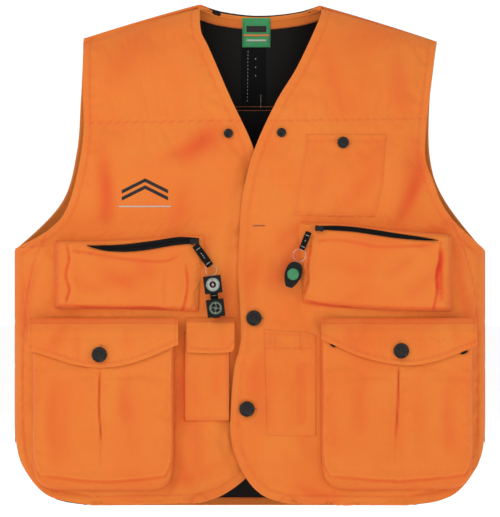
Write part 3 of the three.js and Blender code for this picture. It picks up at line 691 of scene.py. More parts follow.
def finderOf(*pieces):
    finders = []
    for piece in pieces:
        made = bmesh.new()
        made.from_mesh(piece.data)
        finders.append(BVHTree.FromBMesh(made))
        made.free()

    def find(x, z, side=-1, lift=0.0):
        # the outermost point of the cloth at x, z, in millimetres, and its outward normal
        best = None
        for finder in finders:
            hit, normal, _, _ = finder.ray_cast(Vector((x * mm, side * 0.3, z * mm)), Vector((0, -side, 0)))
            if hit is not None and (best is None or hit.y * side > best[0].y * side):
                if normal.y * side < 0:
                    normal = -normal
                best = (hit, normal)
        if best is None:
            return None
        return np.array(best[0]) / mm + lift * np.array(best[1]), np.array(best[1])
    return find


# Rows of stitches, each stitch a small tapered thread lying in the cloth
threads = {}


def sew(group, find, line, pitch=3.1, length=2.3, radius=0.27, side=-1, lift=0.08):
    run = np.concatenate([[0], np.cumsum(np.linalg.norm(np.diff(line, axis=0), axis=1))])
    count = int(run[-1] / pitch)
    for k in range(count):
        ends = []
        for at in (k * pitch + 0.3, k * pitch + 0.3 + length):
            x, z = np.interp(at, run, line[:, 0]), np.interp(at, run, line[:, 1])
            ends.append(find(x, z, side, lift))
        if ends[0] is None or ends[1] is None or abs(ends[0][0][1] - ends[1][0][1]) > 3.5:
            continue
        threads.setdefault(group, []).append((ends[0][0], ends[1][0], (ends[0][1] + ends[1][1]) / 2, radius))


def stitchPiece(name, group, material):
    sides, rings = 5, ((0.0, 0.35), (0.18, 1.0), (0.82, 1.0), (1.0, 0.35))
    vertices, faces = [], []
    for a, b, normal, radius in threads.get(group, []):
        run = b - a
        span = np.linalg.norm(run)
        if span < 0.2:
            continue
        run = run / span
        n = normal - run * (normal @ run)
        n /= max(np.linalg.norm(n), 1e-9)
        w = np.cross(run, n)
        base = len(vertices)
        for t, share in rings:
            middle = a + run * span * t - n * (0.25 if share < 1 else 0)
            for k in range(sides):
                turn = 2 * math.pi * k / sides
                vertices.append((middle + radius * share * (math.cos(turn) * w + math.sin(turn) * n)) * mm)
        for r in range(len(rings) - 1):
            for k in range(sides):
                p, q = base + r * sides + k, base + r * sides + (k + 1) % sides
                faces.append((p, q, q + sides, p + sides))
        faces.append(tuple(base + k for k in range(sides))[::-1])
        faces.append(tuple(base + (len(rings) - 1) * sides + k for k in range(sides)))
    mesh = bpy.data.meshes.new(name)
    mesh.from_pydata([tuple(v) for v in vertices], [], faces)
    mesh.materials.append(material)
    mesh.update()
    piece = bpy.data.objects.new(name, mesh)
    bpy.context.scene.collection.objects.link(piece)
    turnOutward(piece)
    for polygon in mesh.polygons:
        polygon.use_smooth = True
    return piece


blendStart, blendEnd = (0, -0.05, -0.013), (0, -0.05, vest["splitZ"] * mm)


def overChest(piece, body):
    # rides the shoulders at the top and the opening front below the split
    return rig.blend(piece, "vest_back", body, blendStart, blendEnd)


# Outlines of the panels
rightNeckLine = curve([(-68, 0), (-66, -32), (-55, -56), (-27, -121), (-2, -174), (12, -215)])
leftNeckLine = curve([(92, 0), (88, -18), (60, -79), (32, -126), (3, -190), (-12, -250), (-16, -302)])
leftFrontEdge = curve([(-18.5, -347), (-14, -429), (-23, -476), (-27.6, -540), (-24, -577), (-7, -615),
                       (16, -638), (48, -648)])
rightFrontEdge = curve([(12, -590), (-7, -615), (-38, -637), (-67, -647)])
rightArmhole = curve([(-221, -40), (-220, -110), (-220, -182), (-238, -259), (-264, -292),
                      (seamRight + 1, vest["underarm"])])
leftArmhole = curve([(244, -44), (238, -80), (226, -183), (236, -228), (258, -274),
                     (seamLeft - 1, vest["underarm"] - 2)])
backArmholeRight = curve([(-221, -40), (-226, -120), (-232, -190), (-252, -256),
                          (seamRight + 1, vest["underarm"])])
backArmholeLeft = curve([(244, -44), (236, -120), (237, -198), (256, -252),
                         (seamLeft - 1, vest["underarm"] - 2)])
backNeckLine = curve([(-68, 0), (-40, -9), (10, -14), (62, -9), (92, 0)])


def cornerLine(sign, hem):
    seam = vest["sideCentre"] + sign * vest["halfWidth"]
    edge = vest["frontHem"]
    return curve([(seam - sign * 0.3, edge + 90), (seam - sign * 12, edge + 50), (seam - sign * 45, hem + 12),
                  (seam - sign * 100, hem)], 30)


def shoulderLine(x0, x1):
    xs = np.linspace(x0, x1, 30)
    return np.column_stack([xs, ridge(xs) - 0.2])


def straight(x0, z0, x1, z1, count=24):
    return np.column_stack([np.linspace(x0, x1, count), np.linspace(z0, z1, count)])


leftInner = joined(leftNeckLine, leftFrontEdge)
leftOuter = joined(leftArmhole, straight(seamLeft - 0.3, -326, seamLeft - 0.3, -552),
                   cornerLine(1, vest["frontHem"]))
rightInner = joined(rightNeckLine, straight(12, -225, 12, -580), rightFrontEdge)
rightOuter = joined(rightArmhole, straight(seamRight + 0.3, -326, seamRight + 0.3, -552),
                    cornerLine(-1, vest["frontHem"]))


def reliefOf(x, z, edges, seams, folds, seed):
    # small shapes on the cloth: turned hems, sewn seams with their puckers, folds and a soft unevenness; with them
    # painted shade in hem grooves, along seams and beside folds, and edge wear
    lift = 0.9 * waver(x, z, 95, seed) + 0.5 * waver(x, z, 36, seed + 4)
    crease, worn = np.zeros(x.shape), np.zeros(x.shape)
    wobble = waver(x, z, 14, seed + 9)
    for line, wide in edges:
        d, along = nearLine(x, z, line)
        lift += 0.6 * (1 - smooth(d, wide - 1.2, wide + 1.2)) - 0.5 * bell(d - wide, 1.5)
        lift += 0.32 * np.sin(along / 2.6 + 5 * wobble) * bell(d - wide * 0.6, wide * 0.7)
        # painted shade in the groove along the hem's stitching
        crease += 0.2 * bell(d - wide, 1.6)
        worn += 0.35 * bell(d, 1.6)
    for line in seams:
        d, along = nearLine(x, z, line)
        lift += 0.5 * bell(d - 2.6, 1.8) - 0.75 * bell(d, 1.3)
        lift += 0.34 * np.sin(along / 2.8 + 5 * wobble) * bell(d - 3, 6)
        # painted shade along the seam line
        crease += 0.3 * bell(d, 1.4)
        worn += 0.15 * bell(d - 2.6, 1.2)
    for x0, z0, x1, z1, wide, high in folds:
        line = np.array([(x0, z0), ((x0 + x1) / 2 + 0.06 * (z1 - z0), (z0 + z1) / 2 - 0.06 * (x1 - x0)),
                         (x1, z1)])
        d, along = nearLine(x, z, curve(line, 10))
        reach = math.hypot(x1 - x0, z1 - z0)
        ends = np.sin(np.clip(along / reach, 0, 1) * math.pi) ** 0.6
        body = bell(d + 2.5 * wobble, wide)
        lift += 1.25 * high * body * ends
        # painted shade in the valley of a sunk fold, and along one side of a raised fold as if lit from the other
        if high < 0:
            crease += min(0.6, -0.19 * high) * bell(d, wide * 0.9) * ends
        else:
            away = nearLine(x, z, shifted(curve(line, 10), -1.1 * wide))[0]
            crease += min(0.45, 0.13 * high) * bell(away, wide * 0.8) * ends
    return lift, crease, worn


def inside(x, z, line):
    # signed distance past the other front's edge: above zero where that front covers it
    return x - np.interp(-z, -line[:, 1], line[:, 0])


def underLap(x, z):
    # the right front steps back behind the left front's edge
    covered = smooth(inside(x, z, leftInner), -20, -3) * smooth(-z, 168, 196)
    return 5.2 * covered


def shellPanel(name, plan, side, edges, seams, folds, seed, pinLines, lapped=False, double=2):
    rows, columns = plan.shape[:2]
    outward = (0, side, 0)
    x, z = plan[..., 0], plan[..., 1]
    points = np.stack([x, surfaceY(x, z, 0, side), z], axis=2)
    near = np.full(x.shape, 1e9)
    for line in pinLines:
        near = np.minimum(near, nearLine(x, z, line)[0])
    pins = 1 - smooth(near, 5, 16)
    pins[[0, -1]] = 1
    pins[:, [0, -1]] = 1
    n = normalsOf(points, outward)
    out = ((settle(points, outward, pins, 0.02, 1.2, 4.5) - points) * n).sum(2)
    mostOut, mostLift = (4.5, 9) if side < 0 else (2.0, 3.2)  # the back has less room
    points = points + n * np.clip(out, -0.8, mostOut)[..., None]
    points = finer(points, double * rows, double * columns)
    x, z = points[..., 0], points[..., 2]
    lift, crease, worn = reliefOf(x, z, edges, seams, folds, seed)
    edgeHold = smooth(np.minimum(seamLeft - x, x - seamRight), 0, 6) * smooth(ridge(x) - z, 0.5, 8)
    points = points + normalsOf(points, outward) * (np.clip(lift, -1.0, mostLift) * edgeHold)[..., None]
    if lapped:
        points[..., 1] += underLap(x, z)
    piece = clothGrid(name, points, outward, orangeCloth, crease, worn)
    return thicken(piece, vest["clothThick"])


def liningPanel(name, plan, side, seed, lapped=False):
    x, z = plan[..., 0], plan[..., 1]
    y = surfaceY(x, z, -2.5, side)
    ripple = 0.35 * waver(x, z, 40, seed)
    points = np.stack([x, y - side * np.abs(ripple), z], axis=2)
    if lapped:
        points[..., 1] += underLap(x, z)
    piece = clothGrid(name, points, (0, side, 0), blackNylon, 0.3 * np.abs(waver(x, z, 25, seed)))
    return thicken(piece, vest["liningThick"])


# Lines that are sewn on the panels
seamPlans = {
    "leftYoke": straight(14, -151, 233, -147),
    "rightYoke": straight(-2, -150, -222, -153),
    "leftSide": curve([(262, -284), (281, -330), (294, -400), (295, -560), (290, -606)]),
    "rightSide": curve([(-268, -300), (-287, -345), (-297, -420), (-297, -560), (-290, -604)]),
    "backYoke": straight(-228, -158, 240, -158, 60),
    "backLeft": curve([(226, -160), (222, -300), (228, -420), (240, -640)]),
    "backRight": curve([(-218, -160), (-214, -300), (-222, -420), (-236, -640)]),
}
leftFolds = [
    (168, -296, 196, -160, 16, 2.6), (192, -280, 226, -190, 9, -2.2), (108, -288, 20, -372, 17, -2.6),
    (86, -292, 36, -330, 13, 2.2), (40, -440, 34, -560, 15, 2.0), (66, -440, 78, -600, 12, -1.8),
    (26, -318, 10, -398, 12, 1.8), (120, -40, 150, -140, 22, 1.8), (190, -60, 206, -150, 16, -1.6),
    (40, -636, 180, -640, 9, 1.6), (50, -620, 120, -640, 8, -1.4), (270, -300, 290, -420, 9, -1.8),
    (228, -292, 262, -262, 9, 1.6), (12, -450, -2, -520, 9, -1.2),
]
rightFolds = [
    (-96, -206, -38, -150, 18, -2.4), (-130, -190, -60, -150, 14, 2.2), (-206, -286, -214, -170, 14, 2.2),
    (-190, -296, -196, -200, 10, -1.8), (-40, -300, -56, -400, 14, 2.0), (-66, -410, -92, -560, 10, -2.4),
    (-44, -470, -52, -620, 14, 2.0), (-120, -290, -104, -220, 16, 1.6), (-120, -40, -160, -130, 22, 1.6),
    (-76, -628, -200, -636, 9, 1.4), (-280, -330, -296, -430, 9, -1.8), (-30, -330, -26, -470, 9, -1.4),
    (-92, -560, -60, -630, 10, 1.6),
]
backFolds = [
    (-150, -180, -190, -400, 22, 2.6), (150, -180, 196, -380, 22, 2.4), (-60, -190, -90, -400, 20, -2.2),
    (70, -190, 96, -400, 20, 2.0), (0, -60, 60, -140, 22, 1.4), (-240, -330, -270, -520, 12, 2.0),
    (250, -330, 274, -520, 12, 2.0), (20, -200, 30, -400, 18, 1.8), (-200, -60, -180, -150, 16, 1.4),
]


def sidePlan(bottom, inner, outer, top, rows, columns):
    return panelGrid(top, bottom, inner, outer, rows, columns, -1)


leftPlan = sidePlan(straight(48, -648, 207, -650), leftInner, leftOuter, shoulderLine(92, 244), 112, 52)
rightPlan = sidePlan(straight(-67, -647, -211, -650), rightInner, rightOuter, shoulderLine(-68, -221), 112,
                     54)
backInner = joined(backArmholeRight, straight(seamRight + 0.3, -326, seamRight + 0.3, -552),
                   cornerLine(-1, vest["backHem"]))
backOuter = joined(backArmholeLeft, straight(seamLeft - 0.3, -326, seamLeft - 0.3, -552),
                   cornerLine(1, vest["backHem"]))
backTop = joined(shoulderLine(-221, -70), backNeckLine, shoulderLine(94, 244))
backBottom = straight(-211, vest["backHem"], 207, vest["backHem"], 60)
backPlan = panelGrid(backTop, backBottom, backInner, backOuter, 104, 92, 1)

cargoBox = {side: straight(*pair, 4) for side, pair in
            {"right": (-289, -408, -94, -408), "left": (90, -408, 292, -408)}.items()}
leftPins = [leftInner, leftOuter, shoulderLine(92, 244), cargoBox["left"], straight(76, -286, 256, -304),
            straight(84, -382, 256, -396), straight(74, -168, 174, -168), seamPlans["leftYoke"]]
rightPins = [rightInner, rightOuter, shoulderLine(-68, -221), cargoBox["right"],
             straight(-87, -406, -87, -541),
             straight(-73, -406, -73, -541), straight(-58, -406, -58, -541), straight(-43, -406, -43, -541),
             straight(-28, -406, -28, -541), straight(-74, -304, -250, -310),
             straight(-76, -394, -250, -393), seamPlans["rightYoke"]]
for spot in ("front_button_middle", "front_button_lower", "left_neck_snap", "chest_pocket_snap",
             "right_neck_snap"):
    low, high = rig.box(spot)
    x, z = (low.x + high.x) / 2 / mm, (low.z + high.z) / 2 / mm
    (rightPins if spot == "right_neck_snap" else leftPins).append(straight(x - 12, z, x + 12, z, 6))
leftShell = shellPanel("leftFrontCloth", leftPlan, -1,
                       [(leftInner, 11), (leftArmhole, 9),
                        (joined(leftOuter[-60:], straight(207, -650, 48, -648)), 11)],
                       [seamPlans["leftYoke"], seamPlans["leftSide"]], leftFolds, 3.0, leftPins)
rightShell = shellPanel("rightFrontCloth", rightPlan, -1,
                        [(rightInner, 11), (rightArmhole, 9),
                         (joined(rightOuter[-60:], straight(-211, -650, -67, -647)), 11)],
                        [seamPlans["rightYoke"], seamPlans["rightSide"]], rightFolds, 21.0, rightPins,
                        lapped=True)
backShell = shellPanel("backCloth", backPlan, 1,
                       [(backTop, 9), (backArmholeLeft, 9), (backArmholeRight, 9), (backBottom, 12)],
                       [seamPlans["backYoke"], seamPlans["backLeft"], seamPlans["backRight"]], backFolds,
                       41.0,
                       [backTop, backInner, backOuter, backBottom, seamPlans["backYoke"]])
print("shells made")

leftLining = liningPanel("leftFrontLining", leftPlan[::2, ::2], -1, 5.0)
rightLining = liningPanel("rightFrontLining", rightPlan[::2, ::2], -1, 7.0, lapped=True)
backLining = liningPanel("backLiningCloth", backPlan[::2, ::2], 1, 9.0)
print("linings made")

leftFind, rightFind, backFind = finderOf(leftShell), finderOf(rightShell), finderOf(backShell)


# Patches, pouches and flaps laid over the shells
def drapeOn(find, plan, lift, side=-1):
    points = np.zeros((*plan.shape[:2], 3))
    for i, j in np.ndindex(plan.shape[:2]):
        x, z = plan[i, j]
        hit = find(x, z, side)
        y = hit[0][1] if hit else surfaceY(x, z, 0, side)
        points[i, j] = x, y + side * lift, z
    return points


def patchPiece(name, find, plan, edges, seams, folds, seed, lift, thick, material=orangeCloth, side=-1):
    points = drapeOn(find, plan, lift, side)
    x, z = points[..., 0], points[..., 2]
    relief, crease, worn = reliefOf(x, z, edges, seams, folds, seed)
    rim = smooth(np.minimum.reduce([nearLine(x, z, line)[0] for line in
                                    (plan[0], plan[-1], plan[:, 0], plan[:, -1])]), 0, 2.5)
    points[..., 1] += side * (np.clip(relief, -0.2, 4) * (0.35 + 0.65 * rim))
    piece = clothGrid(name, points, (0, side, 0), material, crease, worn)
    return thicken(piece, thick)


def quadPlan(top, bottom, rows, columns):
    return panelGrid(top, bottom, straight(*top[0], *bottom[0]), straight(*top[-1], *bottom[-1]), rows,
                     columns)


def fullness(distance, reach):
    # 0 at a seam, rising as a round to 1 at reach
    return np.sqrt(1 - (1 - np.clip(distance / reach, 0, 1)) ** 2)


def pinch(x, z, lines, wobble):
    # edges of a box pocket, sewn as a standing ridge, with painted shade just outside each edge
    lift, crease, worn = (np.zeros(x.shape) for _ in range(3))
    middle = np.vstack(lines).mean(0)
    for line in lines:
        way = 1 if np.abs(shifted(line, 3) - middle).sum() > np.abs(shifted(line, -3) - middle).sum() else -1
        bentX, bentZ = x + 1.2 * wobble, z + 1.2 * wobble
        d, along = nearLine(bentX, bentZ, line)
        beyond = nearLine(bentX, bentZ, shifted(line, 3.4 * way))[0]
        ends = 1 - 0.5 * bell(along, 8)
        lift += (0.7 * bell(d, 1.6) - 1.7 * bell(beyond, 2.4)) * ends
        # painted shade where the pocket's face drops back to the shell
        crease += 0.62 * bell(beyond, 1.9) * ends
        worn += 0.25 * bell(d, 1.1)
    return lift, crease, worn


chestPlan = quadPlan(straight(72, -168, 176, -168), np.array([(54, -273.5), (110, -275), (160, -275.5)]), 52,
                     50)
chestPlan[..., 0] += 4 * bell(chestPlan[..., 1] + 232, 30) * smooth(chestPlan[..., 0], 130, 172)
chestPocket = patchPiece("chestPocketCloth", leftFind, chestPlan,
                         [(chestPlan[0], 9), (chestPlan[:, 0], 2.6), (chestPlan[:, -1], 2.6),
                          (chestPlan[-1], 2.6)],
                         [], [(80, -180, 150, -186, 7, 1.0), (96, -262, 150, -196, 14, 1.3),
                              (70, -262, 96, -200, 9, -0.8)],
                         61.0, 0.3, 0.9)
handTop = curve([(16, -422), (44, -424), (72, -425.5), (84, -430)], 16)
handPocket = patchPiece("handPocketCloth", leftFind, quadPlan(handTop, straight(20, -560, 84, -560), 64, 34),
                        [(handTop, 4)], [straight(18, -446, 84, -446)],
                        [(34, -424, 33, -452, 2.2, -1.6), (67, -426, 68, -452, 2.2, -1.5),
                         (30, -424, 28, -450, 3, 1.4),
                         (62, -426, 62, -452, 3, 1.2), (40, -470, 36, -552, 13, 1.6),
                         (70, -462, 64, -550, 9, -1.2)],
                        67.0, 0.1, 0.7)
print("patches made")

# Zip pockets: outline, face seams, lip under the zip, and the zip's own line
zipSizes = {
    "right": {"top": [(-60, -298.5), (-110, -300), (-180, -305), (-257, -306)],
              "bottom": [(-68, -400), (-110, -397.5), (-180, -395.5), (-257, -395)],
              "pinches": [[(-236, -311), (-233, -330), (-237, -350), (-232, -368), (-237, -385)],
                          [(-88, -338), (-86, -362), (-89, -384), (-94, -397)],
                          [(-228, -388.5), (-180, -391), (-128, -390.5), (-108, -394), (-94, -397)]],
              "lip": [(-240, -316), (-206, -321), (-172, -327), (-132, -331), (-108, -330), (-90, -320)],
              "zip": [(-68, -306.8), (-84, -306.4), (-100, -307.4), (-130, -312.4), (-156, -315.6),
                      (-180, -316.4), (-200, -315), (-213.5, -312.6)],
              "folds": [(-110, -340, -112, -392, 3, -1.0), (-200, -344, -140, -336, 12, 1.5),
                        (-160, -384, -206, -350, 12, 1.2), (-232, -352, -190, -374, 8, -0.9),
                        (-150, -330, -120, -356, 9, -1.0)],
              "body": "right_front", "seed": 71.0, "tall": 10.4},
    "left": {"top": [(60, -282.5), (110, -283.5), (180, -291), (262, -298.5)],
             "bottom": [(66, -388), (110, -393), (180, -397.5), (262, -399)],
             "pinches": [[(80, -306), (79, -322), (75, -342), (77, -358), (71, -376)],
                         [(242, -309), (241, -330), (236, -352), (237, -372), (233, -394)],
                         [(72, -382), (100, -387), (140, -392.5), (180, -396), (233, -397)]],
             "lip": [(80, -305), (108, -303), (136, -306.5), (164, -312), (200, -311.5), (240, -309)],
             "zip": [(84, -290.2), (104, -290), (132, -291.8), (160, -295.8), (186, -299.8), (214, -303.2),
                     (242, -306.2)],
             "folds": [(190, -368, 236, -330, 12, 1.7), (170, -352, 214, -322, 9, -1.3),
                       (96, -316, 170, -334, 12, 1.0),
                       (96, -380, 150, -352, 10, 1.1), (248, -316, 247, -388, 5, -3.4),
                       (255, -310, 254, -384, 4, 1.8)],
             "body": "left_front", "seed": 79.0, "tall": 6.6},
}
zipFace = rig.box("right_zip_pocket")[0].y / mm
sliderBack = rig.box("right_zip_slider")[1].y / mm  # plane behind the sliders


def zipPouch(side, size):
    top, bottom = curve(size["top"], 24), curve(size["bottom"], 24)
    find = rightFind if side == "right" else leftFind
    plan = quadPlan(top, bottom, 40, 76)
    points = drapeOn(find, plan, 0.2)
    x, z = plan[..., 0], plan[..., 1]
    inner, outer = plan[:, 0], plan[:, -1]
    full = (fullness(nearLine(x, z, top)[0], 6.5) * fullness(nearLine(x, z, bottom)[0], 9)
            * fullness(nearLine(x, z, inner)[0], 14) * fullness(nearLine(x, z, outer)[0], 19))
    shell = points[..., 1].copy()
    points[..., 1] = shell + (zipFace - 0.2 - shell) * full
    pins = 1 - smooth(full, 0.35, 0.9)
    for line in (*size["pinches"], size["zip"]):
        pins = np.maximum(pins, bell(nearLine(x, z, np.array(line))[0], 4))
    moved = settle(points, (0, -1, 0), pins, 0.035, 5.0, 2.6)
    out = np.clip((moved - points)[..., 1], -2.2, 0.8)
    points[..., 1] += out
    points = finer(points, 84, 150)
    x, z = points[..., 0], points[..., 2]
    wobble = waver(x, z, 22, size["seed"])
    lift, crease, worn = pinch(x, z, [curve(line, 16) for line in size["pinches"]], wobble)
    lipLine, zipLine = curve(size["lip"], 24), curve(size["zip"], 24)
    order = np.argsort(lipLine[:, 0])
    below = np.interp(x, lipLine[order, 0], lipLine[order, 1]) - z
    zorder = np.argsort(zipLine[:, 0])
    underZip = np.interp(x, zipLine[zorder, 0], zipLine[zorder, 1]) - z
    first, last = lipLine[order][0, 0], lipLine[order][-1, 0]
    span = smooth(x, first, first + 14) * (1 - smooth(x, last - 14, last))
    lip = smooth(underZip, 2.5, 6) * (1 - smooth(below, -1.2, 1.2)) * span
    lift += 1.3 * lip - 0.9 * bell(below - 2.4, 2.2) * span - 1.0 * bell(underZip, size["tall"] * 0.55)
    # painted shade under the lip below the zip
    crease += 0.42 * bell(below - 2.4, 2.4) * span
    more, foldShade, _ = reliefOf(x, z, [], [], size["folds"], size["seed"])
    rim = np.minimum.reduce([nearLine(x, z, line)[0] for line in (top, bottom, inner, outer)])
    points[..., 1] -= (lift + 0.8 * more) * smooth(rim, 0, 5)
    points[..., 1] += 1.5 * (1 - smooth(rim, 0, 5.5))
    low = np.minimum(nearLine(x, z, bottom)[0], nearLine(x, z, outer)[0])
    # painted shade from the folds and along the pocket's lower and outer edges
    crease = crease + foldShade + 0.35 * bell(low - 4, 3)
    points[..., 1] = np.maximum(points[..., 1], min(zipFace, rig.box("light_back")[1].y / mm + 0.4) - 0.1)
    piece = clothGrid(side + "ZipPouch", points, (0, -1, 0), orangeCloth, crease, worn)
    thicken(piece, 1.2)
    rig.ride(piece, size["body"])
    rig.replaces(piece, side + "_zip_pocket")
    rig.slot(piece, "orange_shell")
    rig.padded(piece, fill=0.4)
    return piece, finderOf(piece)


def ribbon(name, line, widths, ys, thick, material, rows=9, columns=120):
    # a flat tape along a line in x and z, with its width and depth given along it
    line = spread(line, columns)
    normal = shifted(line, 1.0) - line
    at = np.linspace(0, 1, columns)
    wide = np.interp(at, np.linspace(0, 1, len(widths)), widths)
    deep = np.interp(at, np.linspace(0, 1, len(ys)), ys)
    points = np.zeros((rows, columns, 3))
    for i, share in enumerate(np.linspace(0.5, -0.5, rows)):
        points[i, :, 0] = line[:, 0] + normal[:, 0] * wide * share
        points[i, :, 2] = line[:, 1] + normal[:, 1] * wide * share
        points[i, :, 1] = deep
    piece = clothGrid(name, points, (0, -1, 0), material)
    return thicken(piece, thick)


def zipTrim(side, size):
    line = curve(size["zip"], 40)
    tall = size["tall"]
    tapeY = sliderBack + 0.9
    tape = ribbon(side + "ZipTape", line, [tall * 0.7, tall, tall, tall * 1.05, tall * 0.95, tall * 0.7, 0.8],
                  [tapeY] * 2, 0.7, blackWebbing)
    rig.ride(tape, size["body"])
    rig.replaces(tape, side + "_zip_tape")
    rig.slot(tape, "black_webbing")
    run = spread(line, 400)
    steps = np.linalg.norm(np.diff(run, axis=0), axis=1)
    long = steps.sum()
    at = np.concatenate([[0], np.cumsum(steps)])
    bpy.ops.mesh.primitive_cube_add(size=1)
    tooth = bpy.context.object
    onlySelect(tooth)
    tooth.scale = (0.75 * mm, 0.95 * mm, 2.3 * mm)
    bpy.ops.object.transform_apply(scale=True)
    finishModifier(tooth, "BEVEL", width=0.25 * mm, segments=1)
    corners = np.array([v.co for v in tooth.data.vertices]) / mm
    loops = [tuple(p.vertices) for p in tooth.data.polygons]
    bpy.data.objects.remove(tooth)
    vertices, faces = [], []
    for k in range(int((long - 10) / 1.25)):
        d = 5 + k * 1.25
        x, z = np.interp(d, at, run[:, 0]), np.interp(d, at, run[:, 1])
        x2, z2 = np.interp(d + 1, at, run[:, 0]), np.interp(d + 1, at, run[:, 1])
        turn = math.atan2(z2 - z, x2 - x)
        up = 0.55 if k % 2 else -0.55
        base = len(vertices)
        for c in corners:
            lx, lz = c[0], c[2] + up
            vertices.append(((x + lx * math.cos(turn) - lz * math.sin(turn)) * mm, (tapeY - 0.75 + c[1]) * mm,
                             (z + lx * math.sin(turn) + lz * math.cos(turn)) * mm))
        faces += [tuple(base + i for i in f) for f in loops]
    mesh = bpy.data.meshes.new(side + "ZipCoil")
    mesh.from_pydata(vertices, [], faces)
    mesh.materials.append(coilBlack)
    coil = bpy.data.objects.new(side + "ZipCoil", mesh)
    bpy.context.scene.collection.objects.link(coil)
    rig.ride(coil, size["body"])
    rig.replaces(coil, side + "_zip_chain")
    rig.slot(coil, "zip_coil")


pouches = {}
for side, size in zipSizes.items():
    pouches[side] = zipPouch(side, size)
    zipTrim(side, size)
print("zip pockets made")

# Cargo pockets: box pockets with a pleat, and their flaps
cargoSizes = {
    "right": {"x0": -285, "x1": -101, "flap0": -289.5, "flap1": -95, "top": -408, "bottom": -612,
              "roll": -631,
              "pleat": [(-196, -472), (-197.5, -520), (-195, -562), (-196.5, -608)], "body": "right_front",
              "flapBody": "right_flap", "edge": [(-289.5, -449), (-262, -457), (-230, -467), (-198, -471),
                                                 (-166, -468), (-130, -456.5), (-95, -441)],
              "folds": [(-250, -476, -250, -606, 11, -1.5), (-268, -480, -266, -600, 10, 1.2),
                        (-160, -474, -163, -548, 10, -1.2), (-138, -480, -132, -590, 14, 1.4),
                        (-222, -484, -224, -600, 11, 1.2)], "flapFolds": [(-234, -412, -262, -452, 9, -1.3),
                                                                       (-214, -416, -216, -460, 8, 1.2),
                                                                       (-150, -414, -140, -452, 12, 1.2)],
              "gap": [(-124, -452.4, -116, -449)], "seed": 91.0},
    "left": {"x0": 91, "x1": 288, "flap0": 90.5, "flap1": 292.5, "top": -408, "bottom": -611, "roll": -630,
             "pleat": [(191, -466), (189.5, -520), (187, -562), (185, -606)], "body": "left_front",
             "flapBody": "left_flap", "edge": [(90.5, -434), (112, -444), (140, -456), (172, -464.5),
                                               (208, -468), (240, -462.5), (268, -452.5), (292.5, -442.5)],
             "folds": [(120, -470, 124, -590, 12, 1.3), (146, -476, 144, -560, 10, -1.1),
                       (236, -474, 240, -590, 14, 1.3), (262, -476, 262, -590, 9, -1.0),
                       (210, -484, 208, -600, 10, 1.1)],
             "flapFolds": [(130, -412, 128, -446, 9, -1.2), (164, -412, 150, -456, 11, 1.3),
                           (228, -412, 236, -456, 11, 1.2), (262, -412, 270, -440, 8, -1.0)],
             "gap": [(101.5, -440.5, 109, -443.8), (271, -453.6, 281, -449.6)], "seed": 97.0},
}
cargo = {"depth": 17, "yaw": 0.082, "sewBulge": 2.76, "hingeY": 5.5, "flapGap": 0.6, "flapThick": 2.0,
         "slope": 19}


def cargoFace(side, size, x):
    # y of the pocket's front plane, turned a little towards the side seam
    box0, box1 = (-289, -94) if side == "right" else (90, 292)
    inner = box1 if side == "right" else box0
    xs = np.linspace(box0, box1, 101)
    front = surfaceY(xs, np.full(101, float(size["top"])), 0, -1)
    fullest = (np.abs(xs - inner) * cargo["yaw"] - front).max()
    return cargo["sewBulge"] - fullest + np.abs(x - inner) * cargo["yaw"] - cargo["depth"]


